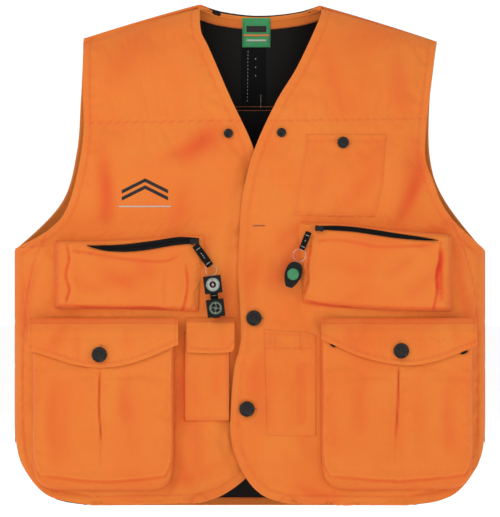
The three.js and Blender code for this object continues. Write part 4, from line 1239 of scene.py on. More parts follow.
def cargoPouch(side, size):
    find = rightFind if side == "right" else leftFind
    x0, x1, mouth, low = size["x0"], size["x1"], size["top"] - 20, size["roll"]
    lower = curve([(x0 - 1, mouth), (x0 - 1, -560), (x0 + 1, low + 26), (x0 + 9, low + 8), (x0 + 27, low)],
                  40)
    other = curve([(x1 + 1, mouth), (x1 + 1, -560), (x1 - 1, low + 26), (x1 - 9, low + 8), (x1 - 27, low)],
                  40)
    plan = panelGrid(straight(x0 - 1, mouth, x1 + 1, mouth), straight(x0 + 27, low, x1 - 27, low), lower,
                     other, 84, 84)
    # closer rows and columns towards the walls, where the cloth turns back
    def crowd(values, count, both):
        t = np.linspace(0, 1, count)
        bent = 0.5 - 0.5 * np.cos(math.pi * t) if both else np.sin(math.pi * t / 2)
        at = (0.45 * t + 0.55 * bent) * (len(values) - 1)
        i = np.minimum(at.astype(int), len(values) - 2)
        w = (at - i)[:, None, None]
        return values[i] * (1 - w) + values[i + 1] * w
    plan = crowd(crowd(plan, 92, False).transpose(1, 0, 2), 100, True).transpose(1, 0, 2)
    points = drapeOn(find, plan, 0.3)
    x, z = plan[..., 0], plan[..., 1]
    sideGap = np.minimum(nearLine(x, z, lower)[0], nearLine(x, z, other)[0])
    full = fullness(sideGap, 6) * fullness(z - low, 15)
    shell = points[..., 1].copy()
    face = cargoFace(side, size, x) + 0.9 * smooth(z, -480, -440)
    points[..., 1] = shell + (face - shell) * full
    pins = 1 - smooth(full, 0.6, 0.97)
    pins = np.maximum(pins, smooth(z, -476, -458))
    pins = np.maximum(pins, bell(nearLine(x, z, np.array(size["pleat"]))[0], 3))
    pins = np.maximum(pins, bell(z - size["bottom"], 4))
    moved = settle(points, (0, -1, 0), pins, 0.02, 3.0, 3.2)
    points[..., 1] += np.clip((moved - points)[..., 1], -2.6, 1.2)
    points = finer(points, 150, 150)
    x, z = points[..., 0], points[..., 2]
    wobble = waver(x, z, 26, size["seed"])
    ways = [curve([(x0 + 3, mouth), (x0 + 3.5, -500), (x0 + 3, -580), (x0 + 12, size["bottom"] + 3)], 24),
            curve([(x1 - 3, mouth), (x1 - 3.5, -500), (x1 - 3, -580), (x1 - 12, size["bottom"] + 3)], 24),
            curve([(x0 + 12, size["bottom"] + 3), (x0 + 50, size["bottom"] - 1),
                   ((x0 + x1) / 2, size["bottom"] - 4),
                   (x1 - 50, size["bottom"] - 1), (x1 - 12, size["bottom"] + 3)], 30)]
    lift, crease, worn = pinch(x, z, ways, 0.8 * wobble)
    crease *= 0.55
    d, along = nearLine(x, z, curve(size["pleat"], 20))
    ends = smooth(along, 0, 10) * (1 - 0.75 * smooth(along, 84, 100)) * (1 - smooth(along, 122, 134))
    lift += ends * (-2.6 * bell(d, 1.0) + 0.9 * bell(d - 3.0, 2.4))
    # painted shade in the pleat's fold
    crease += 0.7 * ends * bell(d, 1.1)
    more, foldShade, _ = reliefOf(x, z, [], [], size["folds"], size["seed"])
    under = 1 - smooth(z, -474, -462)  # level under the flap
    hold = smooth(nearLine(x, z, lower)[0], 0, 4) * smooth(nearLine(x, z, other)[0], 0, 4)
    hold = hold * smooth(z - low, 0, 5)
    points[..., 1] -= (np.clip(lift + 0.9 * more, -3, 3.5)) * hold * (0.15 + 0.85 * under)
    # painted shade from the folds, along the bottom roll and at the pocket's foot
    roll = bell(z - (size["bottom"] - 9), 4.5)
    crease = crease + foldShade + 0.12 * roll + 0.3 * bell(z - low, 3.5)
    piece = clothGrid(side + "CargoPouch", points, (0, -1, 0), orangeCloth, crease, worn)
    thicken(piece, 1.2)
    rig.ride(piece, size["body"])
    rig.replaces(piece, side + "_cargo_pocket")
    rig.slot(piece, "orange_shell")
    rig.padded(piece, fill=0.2)
    return piece, finderOf(piece)


def cargoFlap(side, size):
    rows, columns = 46, 120
    edge = curve(size["edge"], 60)
    x = np.tile(np.linspace(size["flap0"], size["flap1"], columns), (rows, 1))
    tip = np.interp(x[0], edge[:, 0], edge[:, 1])
    t = np.linspace(0, 1, rows)[:, None]
    z = (size["top"] + 1.2) * (1 - t) + tip[None] * t
    face = cargoFace(side, size, x)
    outer = face - cargo["flapGap"] - cargo["flapThick"]
    hinge = face + cargo["depth"] - cargo["hingeY"] - 1.3
    drop = size["top"] + 1.2 - z
    share = np.clip(drop / cargo["slope"], 0, 1)
    y = hinge + (outer - hinge) * (0.35 * share + 0.65 * np.sin(share * math.pi / 2))
    points = np.stack([x, y, z], axis=2)
    pins = np.maximum(1 - smooth(drop, 18, 30), bell(nearLine(x, z, edge)[0], 5))
    moved = settle(points, (0, -1, 0), pins, 0.02, 2.0, 1.5)
    points[..., 1] += np.clip((moved - points)[..., 1], -1.4, 0.15)
    points = finer(points, 84, 200)
    x, z = points[..., 0], points[..., 2]
    ends = [points[:, 0][:, [0, 2]], points[:, -1][:, [0, 2]]]
    lift, crease, worn = reliefOf(x, z, [(edge, 6.5), (ends[0], 3), (ends[1], 3)],
                                  [straight(size["flap0"], size["top"] - 5, size["flap1"], size["top"] - 5)],
                                  size["flapFolds"], size["seed"] + 3)
    points[..., 1] -= np.clip(lift, -0.1, 3) * smooth(size["top"] - z, 0, 6)
    # painted shade along the flap's lower edge and where it folds over at the top
    crease = crease + 0.2 * bell(nearLine(x, z, edge)[0], 1.5) + 0.3 * bell(z - size["top"], 4)
    piece = clothGrid(side + "CargoFlap", points, (0, -1, 0), orangeCloth, crease, worn)
    thicken(piece, 1.7)
    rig.replaces(piece, side + "_cargo_flap")
    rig.slot(piece, "orange_shell")
    find = finderOf(piece)
    sew(side + "Flap", find, shifted(edge, 6.5))
    sew(side + "Flap", find,
        straight(size["flap0"] + 2, size["top"] - 4.4, size["flap1"] - 2, size["top"] - 4.4, 60))
    return piece, find


cargoPouches, cargoFlaps = {}, {}
for side, size in cargoSizes.items():
    cargoPouches[side] = cargoPouch(side, size)
    cargoFlaps[side] = cargoFlap(side, size)
    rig.ride(cargoFlaps[side][0], size["flapBody"])
print("cargo pockets made")


# Accessory pocket beside the closure, with its own flap
smallSize = {"x0": -87.5, "x1": -28, "mouth": -426, "bottom": -541, "flap0": -84.5, "flap1": -22,
             "top": -406.6,
             "flapBottom": -451.5}
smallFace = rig.box("accessory_pocket")[0].y / mm
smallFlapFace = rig.box("accessory_flap")[0].y / mm


def smallPouch():
    s = smallSize
    plan = quadPlan(straight(s["x0"], s["mouth"], s["x1"], s["mouth"]),
                    straight(s["x0"], s["bottom"], s["x1"], s["bottom"]),
                    60, 40)
    points = drapeOn(rightFind, plan, 0.2)
    x, z = plan[..., 0], plan[..., 1]
    full = (fullness(np.minimum(x - s["x0"], s["x1"] - x), 3.2) * fullness(z - s["bottom"], 3.6))
    points[..., 1] += (smallFace + 1.4 - points[..., 1]) * full
    lift, crease, worn = reliefOf(x, z, [(plan[:, 0], 4), (plan[:, -1], 4), (plan[-1], 4)], [],
                                  [(-62, -460, -58, -530, 9, 1.0), (-44, -456, -42, -520, 7, -0.8)], 103.0)
    points[..., 1] -= np.clip(lift, -0.2, 2) * full
    # painted shade on the pouch's walls, where the face turns back to the shell
    piece = clothGrid("accessoryPouch", points, (0, -1, 0), orangeCloth, crease + 0.35 * (full < 0.3), worn)
    thicken(piece, 1.1)
    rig.ride(piece, "right_front")
    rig.replaces(piece, "accessory_pocket")
    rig.slot(piece, "orange_shell")
    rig.sheet(piece, flat=(0.068, 0.122), held="stretched", rests_on=["right_front_shell"])
    find = finderOf(piece)
    for line in (straight(s["x0"] + 3, -440, s["x0"] + 3, s["bottom"] + 5),
                 straight(s["x1"] - 3, -440, s["x1"] - 3, s["bottom"] + 5),
                 straight(s["x0"] + 4, s["bottom"] + 4, s["x1"] - 4, s["bottom"] + 4)):
        sew("rightLow", find, line)


def smallFlap():
    s = smallSize
    edge = curve([(s["flap0"], s["flapBottom"] + 5), (s["flap0"] + 1.5, s["flapBottom"] + 1.2),
                  (s["flap0"] + 6, s["flapBottom"]),
                  (-54, s["flapBottom"] - 0.8), (s["flap1"] - 9, s["flapBottom"] + 0.2),
                  (s["flap1"] - 2.4, s["flapBottom"] + 2.6),
                  (s["flap1"], s["flapBottom"] + 9)], 60)
    rows, columns = 40, 70
    x = np.tile(np.linspace(s["flap0"], s["flap1"], columns), (rows, 1))
    tip = np.interp(x[0], edge[:, 0], edge[:, 1])
    t = np.linspace(0, 1, rows)[:, None]
    z = s["top"] * (1 - t) + tip[None] * t
    top = drapeOn(rightFind, np.stack([x[:1], z[:1]], axis=2), 1.6)[0, :, 1]
    share = np.sin(np.clip((s["top"] - z) / 9, 0, 1) * math.pi / 2)
    y = top[None] + (smallFlapFace - top[None]) * share
    points = np.stack([x, y, z], axis=2)
    lift, crease, worn = reliefOf(x, z, [(edge, 5.5)],
                                  [straight(s["flap0"], s["top"] - 4, s["flap1"], s["top"] - 4)],
                                  [(-66, -414, -62, -446, 8, 0.9), (-40, -412, -36, -444, 6, -0.6)], 109.0)
    points[..., 1] -= np.clip(lift, -0.1, 2) * smooth(s["top"] - z, 0, 5)
    piece = clothGrid("accessoryFlapCloth", points, (0, -1, 0), orangeCloth, crease, worn)
    thicken(piece, 1.4)
    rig.ride(piece, "small_flap")
    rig.replaces(piece, "accessory_flap")
    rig.slot(piece, "orange_shell")
    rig.sheet(piece, flat=(0.0625, 0.048), held="hung", rests_on=["right_front_shell"])
    find = finderOf(piece)
    sew("smallFlap", find, shifted(edge, 5.2))
    sew("smallFlap", find, straight(s["flap0"] + 2, s["top"] - 3.6, s["flap1"] - 2, s["top"] - 3.6))


smallPouch()
smallFlap()


# Bands of shell cloth turned to the inside, the label and the strip at the centre back
def insideY(x, z, lift):
    return surfaceY(x, z, -2.5, 1) + 1.6 - lift


def insideBand(name, line, width, lift, material, rows=9, side=1, count=120, seed=1.0):
    a = spread(line, count)
    b = a + (shifted(a, width) - a)
    points = np.zeros((rows, count, 3))
    for i, t in enumerate(np.linspace(0, 1, rows)):
        x, z = a[:, 0] * (1 - t) + b[:, 0] * t, a[:, 1] * (1 - t) + b[:, 1] * t
        points[i] = np.column_stack([x, insideY(x, z, lift), z])
    x, z = points[..., 0], points[..., 2]
    ripple = 0.25 * waver(x, z, 18, seed)
    points[..., 1] -= side * np.abs(ripple)
    worn = 0.5 * bell(nearLine(x, z, a)[0], 1.2)
    # painted shade along the band's inner edge; wear along its folded edge
    piece = clothGrid(name, points, (0, -side, 0), material, 0.25 * bell(nearLine(x, z, b)[0], 1.4), worn)
    thicken(piece, 0.7)
    return piece


neckBand = insideBand("neckFacingCloth", backNeckLine + np.array([0, 2.6]), -16, 3.7, orangeCloth, seed=3.0)
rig.replaces(neckBand, "neck_facing")
armBands = [insideBand("rightArmFacing", backArmholeRight, 24, 3.5, orangeCloth, seed=5.0),
            insideBand("leftArmFacing", backArmholeLeft, -24, 3.5, orangeCloth, seed=7.0)]
hemBand = insideBand("backHemFacing", straight(-206, vest["backHem"] + 0.3, 202, vest["backHem"] + 0.3, 60),
                     10.5, 3.5,
                     orangeCloth, seed=9.0)
for piece, flat in ((neckBand, (0.185, 0.016)), (armBands[0], (0.30, 0.024)), (armBands[1], (0.30, 0.024)),
                    (hemBand, (0.41, 0.0105))):
    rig.ride(piece, "vest_back")
    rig.slot(piece, "orange_shell")
    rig.sheet(piece, flat=flat, held="stretched", rests_on=["back_lining"])


def tube(name, path, radius, material, sides=10, ends=True, flat=1.0):
    path = np.array(path, float)
    along = np.gradient(path, axis=0)
    along /= np.linalg.norm(along, axis=1, keepdims=True)
    guide = np.array([0.0, 1.0, 0.0]) if abs(along[:, 1]).max() < 0.9 else np.array([0.3, 0.2, 1.0])
    vertices, faces = [], []
    for p, d in zip(path, along):
        w = np.cross(d, guide)
        w /= np.linalg.norm(w)
        n = np.cross(w, d)
        for k in range(sides):
            turn = 2 * math.pi * k / sides
            vertices.append(tuple((p + radius * (math.cos(turn) * w + flat * math.sin(turn) * n)) * mm))
    for r in range(len(path) - 1):
        for k in range(sides):
            a, b = r * sides + k, r * sides + (k + 1) % sides
            faces.append((a, b, b + sides, a + sides))
    if ends:
        faces.append(tuple(range(sides))[::-1])
        faces.append(tuple((len(path) - 1) * sides + k for k in range(sides)))
    mesh = bpy.data.meshes.new(name)
    mesh.from_pydata(vertices, [], faces)
    uv = mesh.uv_layers.new(name="cloth")
    for loop, spot in zip(mesh.loops, uv.data):
        row, k = divmod(loop.vertex_index, sides)
        spot.uv = (row * 0.002, k * radius * mm * 6.28 / sides)
    for label in ("crease", "worn"):
        mesh.attributes.new(label, "FLOAT", "POINT")
    mesh.materials.append(material)
    piece = bpy.data.objects.new(name, mesh)
    bpy.context.scene.collection.objects.link(piece)
    turnOutward(piece)
    for polygon in mesh.polygons:
        polygon.use_smooth = True
    return piece


rollLine = spread(backNeckLine, 90)
rollY = surfaceY(rollLine[:, 0], rollLine[:, 1], 0, 1) - 2.4
neckRoll = tube("neckRoll", np.column_stack([rollLine[:, 0], rollY, rollLine[:, 1] - 0.6]), 3.2, orangeCloth,
                12)
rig.ride(neckRoll, "vest_back")
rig.slot(neckRoll, "orange_shell")


def insidePatch(name, x0, x1, z0, z1, lift, material, thick=0.7, rows=30, columns=30, body="vest_back"):
    plan = quadPlan(straight(x0, z0, x1, z0), straight(x0, z1, x1, z1), rows, columns)
    x, z = plan[..., 0], plan[..., 1]
    points = np.stack([x, insideY(x, z, lift) - 0.25 * waver(x, z, 9, x0), z], axis=2)
    rim = np.minimum.reduce([x - x0, x1 - x, z0 - z, z - z1])
    # painted shade just inside the patch's rim; wear at the rim itself
    piece = clothGrid(name, points, (0, -1, 0), material, 0.4 * bell(rim - 2, 0.7), 0.5 * bell(rim, 0.7))
    thicken(piece, thick)
    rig.ride(piece, body)
    return piece


labelLow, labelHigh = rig.box("neck_label")
label = insidePatch("neckLabelCloth", labelLow.x / mm, labelHigh.x / mm, labelHigh.z / mm + 3.5,
                    labelLow.z / mm, 5.4, greenWeave)
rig.replaces(label, "neck_label")
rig.slot(label, "green_label")
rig.sheet(label, flat=(0.037, 0.035), held="hung", rests_on=["neck_facing"])
insidePatch("labelStripe", -11, 24, -33.5, -35.6, 6.2, orangeThread, 0.25, 6, 24)
insidePatch("labelBar", -6.5, 19.5, -22.5, -30.5, 6.2, blackThread, 0.25, 12, 24)
insidePatch("labelPaleBar", -6.5, 19.5, -40, -42.2, 6.2, paleThread, 0.25, 6, 24)
backStrip = insidePatch("centreBackStrip", -13.5, 19, -45, -131, 3.7, blackWebbing, 0.7, 60, 24)
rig.slot(backStrip, "black_webbing")
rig.sheet(backStrip, flat=(0.0325, 0.086), held="stretched", rests_on=["back_lining"])


def insideFind(lift):
    def find(x, z, side=1, up=0.0):
        return np.array([x, insideY(x, z, lift) - up, z]), np.array([0.0, -1.0, 0.0])
    return find


sew("insidePale", insideFind(4.6), straight(-4.5, -54, -5.5, -126), pitch=4.6, length=2.6, radius=0.3)
sew("insidePale", insideFind(4.6), straight(12.5, -112, 12.5, -130), pitch=3.0, length=2.4, radius=0.3)
sew("insidePale", insideFind(4.6), straight(5.5, -64, 5.5, -98), pitch=11, length=1.6, radius=0.7)
sew("insideOrange", insideFind(4.5), straight(-27, -128, 31, -128), radius=0.38)
sew("insideOrange", insideFind(4.5), straight(-27, -133, 31, -133), radius=0.38)
sew("insideOrange", insideFind(4.2), shifted(backNeckLine, -11.5))
sew("insideOrange", insideFind(4.2), straight(-190, vest["backHem"] + 8.5, 186, vest["backHem"] + 8.5))
sew("insideBlack", insideFind(6.3), straight(-10.6, -18, -10.6, -48.5), pitch=2.2, length=1.7, radius=0.24)
sew("insideBlack", insideFind(6.3), straight(23.6, -18, 23.6, -48.5), pitch=2.2, length=1.7, radius=0.24)
print("inside bands made")

# Side panels that join the fronts to the back, with their lining
def sideStrip(name, sign, lift, material, thick, body, crossSeams=()):
    seam = vest["sideCentre"] + sign * vest["halfWidth"]
    rows, columns = 90, 16
    z = np.linspace(vest["underarm"] - 2, -572, rows)[:, None] * np.ones((1, columns))
    y = np.linspace(-14.5, 12.5, columns)[None] * (1 - 0.9 * smooth(-z, 520, 570))
    depth = np.where(y < 0, vest["frontDepth"], vest["backDepth"])
    belly = (1 - np.abs(y / depth) ** vest["power"]) ** (1 / vest["power"])
    x = vest["sideCentre"] + sign * (vest["halfWidth"] * belly + lift)
    points = np.stack([x, y, z], axis=2)
    crease, worn = np.zeros(x.shape), np.zeros(x.shape)
    # painted shade at the cross seams, where the cloth dips
    for at in crossSeams:
        crease += 0.35 * bell(z - at, 1.6)
        points[..., 0] -= sign * 0.6 * bell(z - at, 1.8)
    worn += 0.3 * bell(np.minimum(y + 14.5, 12.5 - y), 1.2)
    piece = clothGrid(name, points, (sign, 0, 0), material, crease, worn)
    thicken(piece, thick)
    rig.blend(piece, "vest_back", body, (seam * mm, 0.010, -0.45), (seam * mm, -0.012, -0.45))
    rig.sheet(piece, flat=(0.03, 0.25), held="stretched", rests_on=["back_shell"])
    return piece


for name, sign, body in (("left", 1, "left_front"), ("right", -1, "right_front")):
    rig.slot(sideStrip(name + "SideCloth", sign, 0.4, orangeCloth, 0.9, body, (-412, -471)), "orange_shell")
    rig.slot(sideStrip(name + "SideLining", sign, -2.3, blackNylon, 0.6, body), "black_lining")

# Game pouch across the back, open at its top edge
pouchLow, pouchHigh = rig.box("game_pouch")


def gamePouch():
    x0, x1, top, low = pouchLow.x / mm, pouchHigh.x / mm, pouchHigh.z / mm, pouchLow.z / mm
    outer0 = curve([(x0, top), (x0, -580), (x0 + 8, low + 16), (x0 + 34, low)], 30)
    outer1 = curve([(x1, top), (x1, -580), (x1 - 8, low + 16), (x1 - 34, low)], 30)
    plan = panelGrid(straight(x0, top, x1, top), straight(x0 + 34, low, x1 - 34, low), outer0, outer1, 64,
                     120, 1)
    points = drapeOn(backFind, plan, 0.5, 1)
    x, z = plan[..., 0], plan[..., 1]
    gap = np.minimum.reduce([nearLine(x, z, outer0)[0], nearLine(x, z, outer1)[0], z - low])
    points[..., 1] += 4.5 * fullness(gap, 26)
    pins = np.maximum(1 - smooth(gap, 4, 20), smooth(z, top - 12, top - 4))
    moved = settle(points, (0, 1, 0), pins, 0.025, 1.0, 4.0)
    points[..., 1] += np.clip((moved - points)[..., 1], -3, 1.5)
    points = finer(points, 110, 210)
    x, z = points[..., 0], points[..., 2]
    lift, crease, worn = reliefOf(x, z, [(straight(x0, top, x1, top), 14), (outer0, 6), (outer1, 6)],
                                  [straight(-90, top, -92, low), straight(88, top, 90, low)],
                                  [(-200, -440, -180, -600, 18, 2.0), (180, -450, 196, -600, 18, 2.0),
                                   (-20, -440, 10, -610, 20, 1.8)], 121.0)
    toSide = np.minimum(nearLine(x, z, outer0)[0], nearLine(x, z, outer1)[0])
    points[..., 1] += np.clip(lift, -0.3, 1.6) * smooth(toSide, 0, 4)
    piece = clothGrid("gamePouchCloth", points, (0, 1, 0), orangeCloth, crease, worn)
    thicken(piece, 1.2)
    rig.ride(piece, "vest_back")
    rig.replaces(piece, "game_pouch")
    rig.slot(piece, "orange_shell")
    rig.sheet(piece, flat=(0.56, 0.235), held="hung", rests_on=["back_shell"], area=0.128)
    find = finderOf(piece)
    sew("backCloth", find, straight(x0 + 4, top - 13, x1 - 4, top - 13, 90), side=1)
    sew("backCloth", find, shifted(outer0, 5), side=1)
    sew("backCloth", find, shifted(outer1, -5), side=1)


gamePouch()

# A plain chevron emblem on the chest in raised thread
emblem = {"x": -138, "z": -243, "wide": 60, "spacing": 0.6, "barHalf": 34, "barDrop": 19,
          "rows": ((0, 15, 5.0, "emblemBlack"), (-9, 15, 5.0, "emblemBlack"))}
for drop, rise, thick, group in emblem["rows"]:
    for k in range(int(emblem["wide"] / emblem["spacing"])):
        x = emblem["x"] - emblem["wide"] / 2 + emblem["spacing"] * k
        z = emblem["z"] + drop + rise * (1 - abs(x - emblem["x"]) / (emblem["wide"] / 2))
        a, b = rightFind(x, z + thick / 2, -1, 0.25), rightFind(x, z - thick / 2, -1, 0.25)
        threads.setdefault(group, []).append((a[0], b[0], a[1], 0.42))
z = emblem["z"] - emblem["barDrop"]
for k in range(int(2 * emblem["barHalf"] / emblem["spacing"])):
    x = emblem["x"] - emblem["barHalf"] + emblem["spacing"] * k
    a, b = rightFind(x, z + 0.9, -1, 0.25), rightFind(x, z - 0.9, -1, 0.25)
    threads.setdefault("emblemPale", []).append((a[0], b[0], a[1], 0.4))

# Rows of topstitching on the fronts and the back
rows = {
    "leftCloth": (leftFind, [shifted(leftInner, 10.6), shifted(leftInner, 2.4), shifted(leftArmhole, -8.6),
                             shifted(leftArmhole, -2.4), shifted(seamPlans["leftYoke"], -2.8),
                             shifted(seamPlans["leftSide"], 2.8), shifted(seamPlans["leftSide"], -2.8),
                             straight(62, -639, 204, -639.5)], -1),
    "rightCloth": (rightFind,
                   [shifted(rightInner, -10.6), shifted(rightInner, -2.4), shifted(rightArmhole, 8.6),
                               shifted(rightArmhole, 2.4), shifted(seamPlans["rightYoke"], 2.8),
                               shifted(seamPlans["rightSide"], -2.8), shifted(seamPlans["rightSide"], 2.8),
                               straight(-76, -637, -208, -639.5)], -1),
    "backCloth": (backFind, [shifted(backArmholeRight, 8.6), shifted(backArmholeRight, 2.4),
                             shifted(backArmholeLeft, -8.6), shifted(backArmholeLeft, -2.4),
                             shifted(seamPlans["backYoke"], -2.8), shifted(seamPlans["backLeft"], 2.8),
                             shifted(seamPlans["backRight"], 2.8), shifted(backNeckLine, -6),
                             straight(-206, -647, 202, -647, 60)], 1),
}
for group, (find, lines, side) in rows.items():
    for line in lines:
        sew(group, find, line, side=side)
chestFind, handFind = finderOf(chestPocket), finderOf(handPocket)
for line in (straight(73, -177, 174, -177), shifted(chestPlan[:, 0], 2.6), shifted(chestPlan[:, -1], -2.6),
             shifted(chestPlan[-1], 2.6)):
    sew("leftCloth", chestFind, line)
for line in (straight(19, -446, 83, -446), shifted(handTop, -3), straight(18.6, -430, 21.6, -558),
             straight(82, -436, 82, -558),
             straight(22, -557.5, 82, -557.5)):
    sew("leftLow", handFind, line)


def buttonhole(group, find, x, z, angle, length=17.0, half=1.5, spacing=0.62):
    # dense overcast stitches on both sides of a slit
    c, s = math.cos(angle), math.sin(angle)
    for k in range(int(length / spacing)):
        d = -length / 2 + k * spacing
        for way in (-1, 1):
            near, far = 0.2 * way, half * way
            a = find(x + d * c - near * s, z + d * s + near * c, -1, 0.15)
            b = find(x + d * c - far * s, z + d * s + far * c, -1, 0.15)
            if a and b:
                threads.setdefault(group, []).append((a[0], b[0], a[1], 0.3))
    slit = 0.46 * length
    a, b = find(x - slit * c, z - slit * s, -1, 0.32), find(x + slit * c, z + slit * s, -1, 0.32)
    if a and b:
        threads.setdefault(group + "Slit", []).append((a[0], b[0], a[1], 0.42))


buttonhole("leftCloth", leftFind, 10, -287, 0.02)
buttonhole("leftLow", leftFind, 8, -407, 0.0, 19)
buttonhole("leftLow", leftFind, -1, -525, 0.0, 19)
buttonhole("rightFlap", cargoFlaps["right"][1], -194.5, -452, math.pi / 2, 24)
buttonhole("leftFlap", cargoFlaps["left"][1], 192.4, -447, math.pi / 2, 24)
for side, size in cargoSizes.items():
    find = cargoPouches[side][1]
    group = "rightLow" if side == "right" else "leftLow"
    x0, x1, low = size["x0"], size["x1"], size["bottom"]
    sew(group, find, curve([(x0 + 7, -446), (x0 + 7.5, -520), (x0 + 7, -580), (x0 + 18, low + 7),
                            (x0 + 54, low + 4), ((x0 + x1) / 2, low + 1), (x1 - 54, low + 4),
                            (x1 - 18, low + 7), (x1 - 7, -580), (x1 - 7.5, -520), (x1 - 7, -446)], 90))
    pouchFind = pouches[side][1]
    lipLine = curve(zipSizes[side]["lip"], 40)
    sew(group, pouchFind, shifted(lipLine, 3.2 if side == "left" else -3.2))
print("stitching laid")

def selectTop(piece):
    # enters edit mode with only the faces that look up selected
    onlySelect(piece)
    bpy.ops.object.mode_set(mode="EDIT")
    bpy.ops.mesh.select_all(action="DESELECT")
    made = bmesh.from_edit_mesh(piece.data)
    for face in made.faces:
        face.select_set(face.normal.z > 0.9)
    bmesh.update_edit_mesh(piece.data)


# Buttons: turned once, bored for the thread, then copied
buttonSize = {"radius": 10.0, "thick": 3.6, "rim": 1.7, "dish": 1.0, "holes": 2.3, "bore": 0.95}


def turnButton():
    b = buttonSize
    bpy.ops.mesh.primitive_cylinder_add(vertices=56, radius=b["radius"] * mm, depth=b["thick"] * mm,
                                        end_fill_type="NGON")
    piece = bpy.context.object
    selectTop(piece)
    bpy.ops.mesh.inset(thickness=b["rim"] * mm, depth=0)
    bpy.ops.mesh.inset(thickness=0.9 * mm, depth=-b["dish"] * mm)
    bpy.ops.mesh.inset(thickness=3.4 * mm, depth=0.35 * mm)
    bpy.ops.object.mode_set(mode="OBJECT")
    finishModifier(piece, "BEVEL", width=0.55 * mm, segments=3, limit_method="ANGLE", angle_limit=0.6)
    for dx in (-1, 1):
        for dz in (-1, 1):
            bpy.ops.mesh.primitive_cylinder_add(vertices=16, radius=b["bore"] * mm, depth=8 * mm,
                                                location=(dx * b["holes"] * mm, dz * b["holes"] * mm, 0))
            drill = bpy.context.object
            finishModifier(piece, "BOOLEAN", object=drill, operation="DIFFERENCE", solver="EXACT")
            bpy.data.objects.remove(drill)
    for polygon in piece.data.polygons:
        polygon.use_smooth = True
    onlySelect(piece)
    bpy.ops.object.shade_smooth_by_angle(angle=0.6)
    piece.data.materials.append(hornFinish)
    piece.select_set(False)
    return piece


buttonMesh = turnButton()


def placed(template, name, x, y, z, yaw=0.0, spin=0.0, scale=1.0):
    # the template lies in x and y with its face up; it is stood up to face the front
    piece = template.copy()
    piece.data = template.data.copy()
    piece.name = name
    bpy.context.scene.collection.objects.link(piece)
    turn = Matrix.Rotation(yaw, 4, "Z") @ Matrix.Rotation(math.pi / 2, 4, "X") @ Matrix.Rotation(spin, 4, "Z")
    piece.data.transform(Matrix.Translation(Vector((x, y, z)) * mm) @ turn @ Matrix.Scale(scale, 4))
    return piece


def sewnButton(node, body, yaw=0.0, spin=0.2):
    low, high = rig.box(node)
    x, z = (low.x + high.x) / 2 / mm, (low.z + high.z) / 2 / mm
    y = low.y / mm + buttonSize["thick"] / 2
    name = "".join(word.capitalize() for word in node.split("_"))
    piece = placed(buttonMesh, name[0].lower() + name[1:] + "Horn", x, y, z, yaw, spin)
    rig.ride(piece, body)
    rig.replaces(piece, node)
    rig.slot(piece, "horn_button")
    h = buttonSize["holes"]
    face = y - buttonSize["thick"] / 2 + 0.75
    paths = []
    for dz in (-h, h):
        for k in range(3):
            lift = -0.55 - 0.12 * k
            paths.append([(-h, 1.6, dz + (k - 1) * 0.4), (-h, 0.2, dz + (k - 1) * 0.4),
                          (-h * 0.5, lift, dz + (k - 1) * 0.42),
                          (h * 0.5, lift, dz + (k - 1) * 0.42), (h, 0.2, dz + (k - 1) * 0.4),
                          (h, 1.6, dz + (k - 1) * 0.4)])
    strands = []
    for number, path in enumerate(paths):
        c, s = math.cos(spin), math.sin(spin)
        line = [(x + (px * c - pz * s) * math.cos(yaw), face + py + (px * c - pz * s) * math.sin(yaw),
                 z + px * s + pz * c)
                for px, py, pz in path]
        strands.append(tube(f"{name}Strand{number}", line, 0.28, blackThread, 6))
    strands.append(tube(f"{name}Stalk", [(x, y + 1.2, z), (x, y + 3.0, z), (x, high.y / mm - 0.3, z)], 1.9,
                        blackThread, 12))
    onlySelect(strands[0])
    for strand in strands:
        strand.select_set(True)
    bpy.context.view_layer.objects.active = strands[0]
    bpy.ops.object.join()
    strands[0].name = name[0].lower() + name[1:] + "Thread"
    strands[0].select_set(False)
    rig.ride(strands[0], body)
    return piece


for node, body, yaw, spin in (("front_button_middle", "right_front", 0, 0.3),
                              ("front_button_lower", "right_front", 0, -0.2),
                              ("front_button_top", "right_front", 0, 0.1),
                              ("right_cargo_button", "right_front", -0.082, 0.15),
                              ("left_cargo_button", "left_front", 0.082, 0.4)):
    sewnButton(node, body, yaw, spin)
bpy.data.objects.remove(buttonMesh)
print("buttons sewn")


# Snaps: a socket ring with a hole, and a domed cap
def turnSnap(radius, thick, hole):
    bpy.ops.mesh.primitive_cylinder_add(vertices=40, radius=radius * mm, depth=thick * mm,
                                        end_fill_type="NGON")
    piece = bpy.context.object
    selectTop(piece)
    if hole:
        bpy.ops.mesh.inset(thickness=radius * 0.26 * mm, depth=0.35 * mm)
        bpy.ops.mesh.inset(thickness=radius * 0.22 * mm, depth=-0.5 * mm)
        bpy.ops.mesh.inset(thickness=radius * 0.12 * mm, depth=-1.0 * mm)
    else:
        bpy.ops.mesh.inset(thickness=0.8 * mm, depth=0.3 * mm)
        bpy.ops.mesh.inset(thickness=1.4 * mm, depth=-0.5 * mm)
        bpy.ops.mesh.inset(thickness=0.5 * mm, depth=0.0)
        bpy.ops.mesh.inset(thickness=radius * 0.3 * mm, depth=0.55 * mm)
    bpy.ops.object.mode_set(mode="OBJECT")
    finishModifier(piece, "BEVEL", width=0.3 * mm, segments=3, limit_method="ANGLE", angle_limit=0.5)
    onlySelect(piece)
    bpy.ops.object.shade_smooth_by_angle(angle=0.7)
    piece.data.materials.append(blackMetal)
    piece.select_set(False)
    return piece


for node, body, hole in (("right_neck_snap", "right_front", True), ("left_neck_snap", "left_front", True),
                         ("chest_pocket_snap", "left_front", False)):
    low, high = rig.box(node)
    radius, thick = (high.x - low.x) / 2 / mm, (high.y - low.y) / mm
    template = turnSnap(radius, thick, hole)
    words = node.split("_")
    cap = placed(template, words[0] + "".join(w.capitalize() for w in words[1:]) + "Metal",
                 (low.x + high.x) / 2 / mm, (low.y + high.y) / 2 / mm, (low.z + high.z) / 2 / mm)
    bpy.data.objects.remove(template)
    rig.replaces(cap, node)
    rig.slot(cap, "black_metal")
    overChest(cap, body)
print("snaps set")


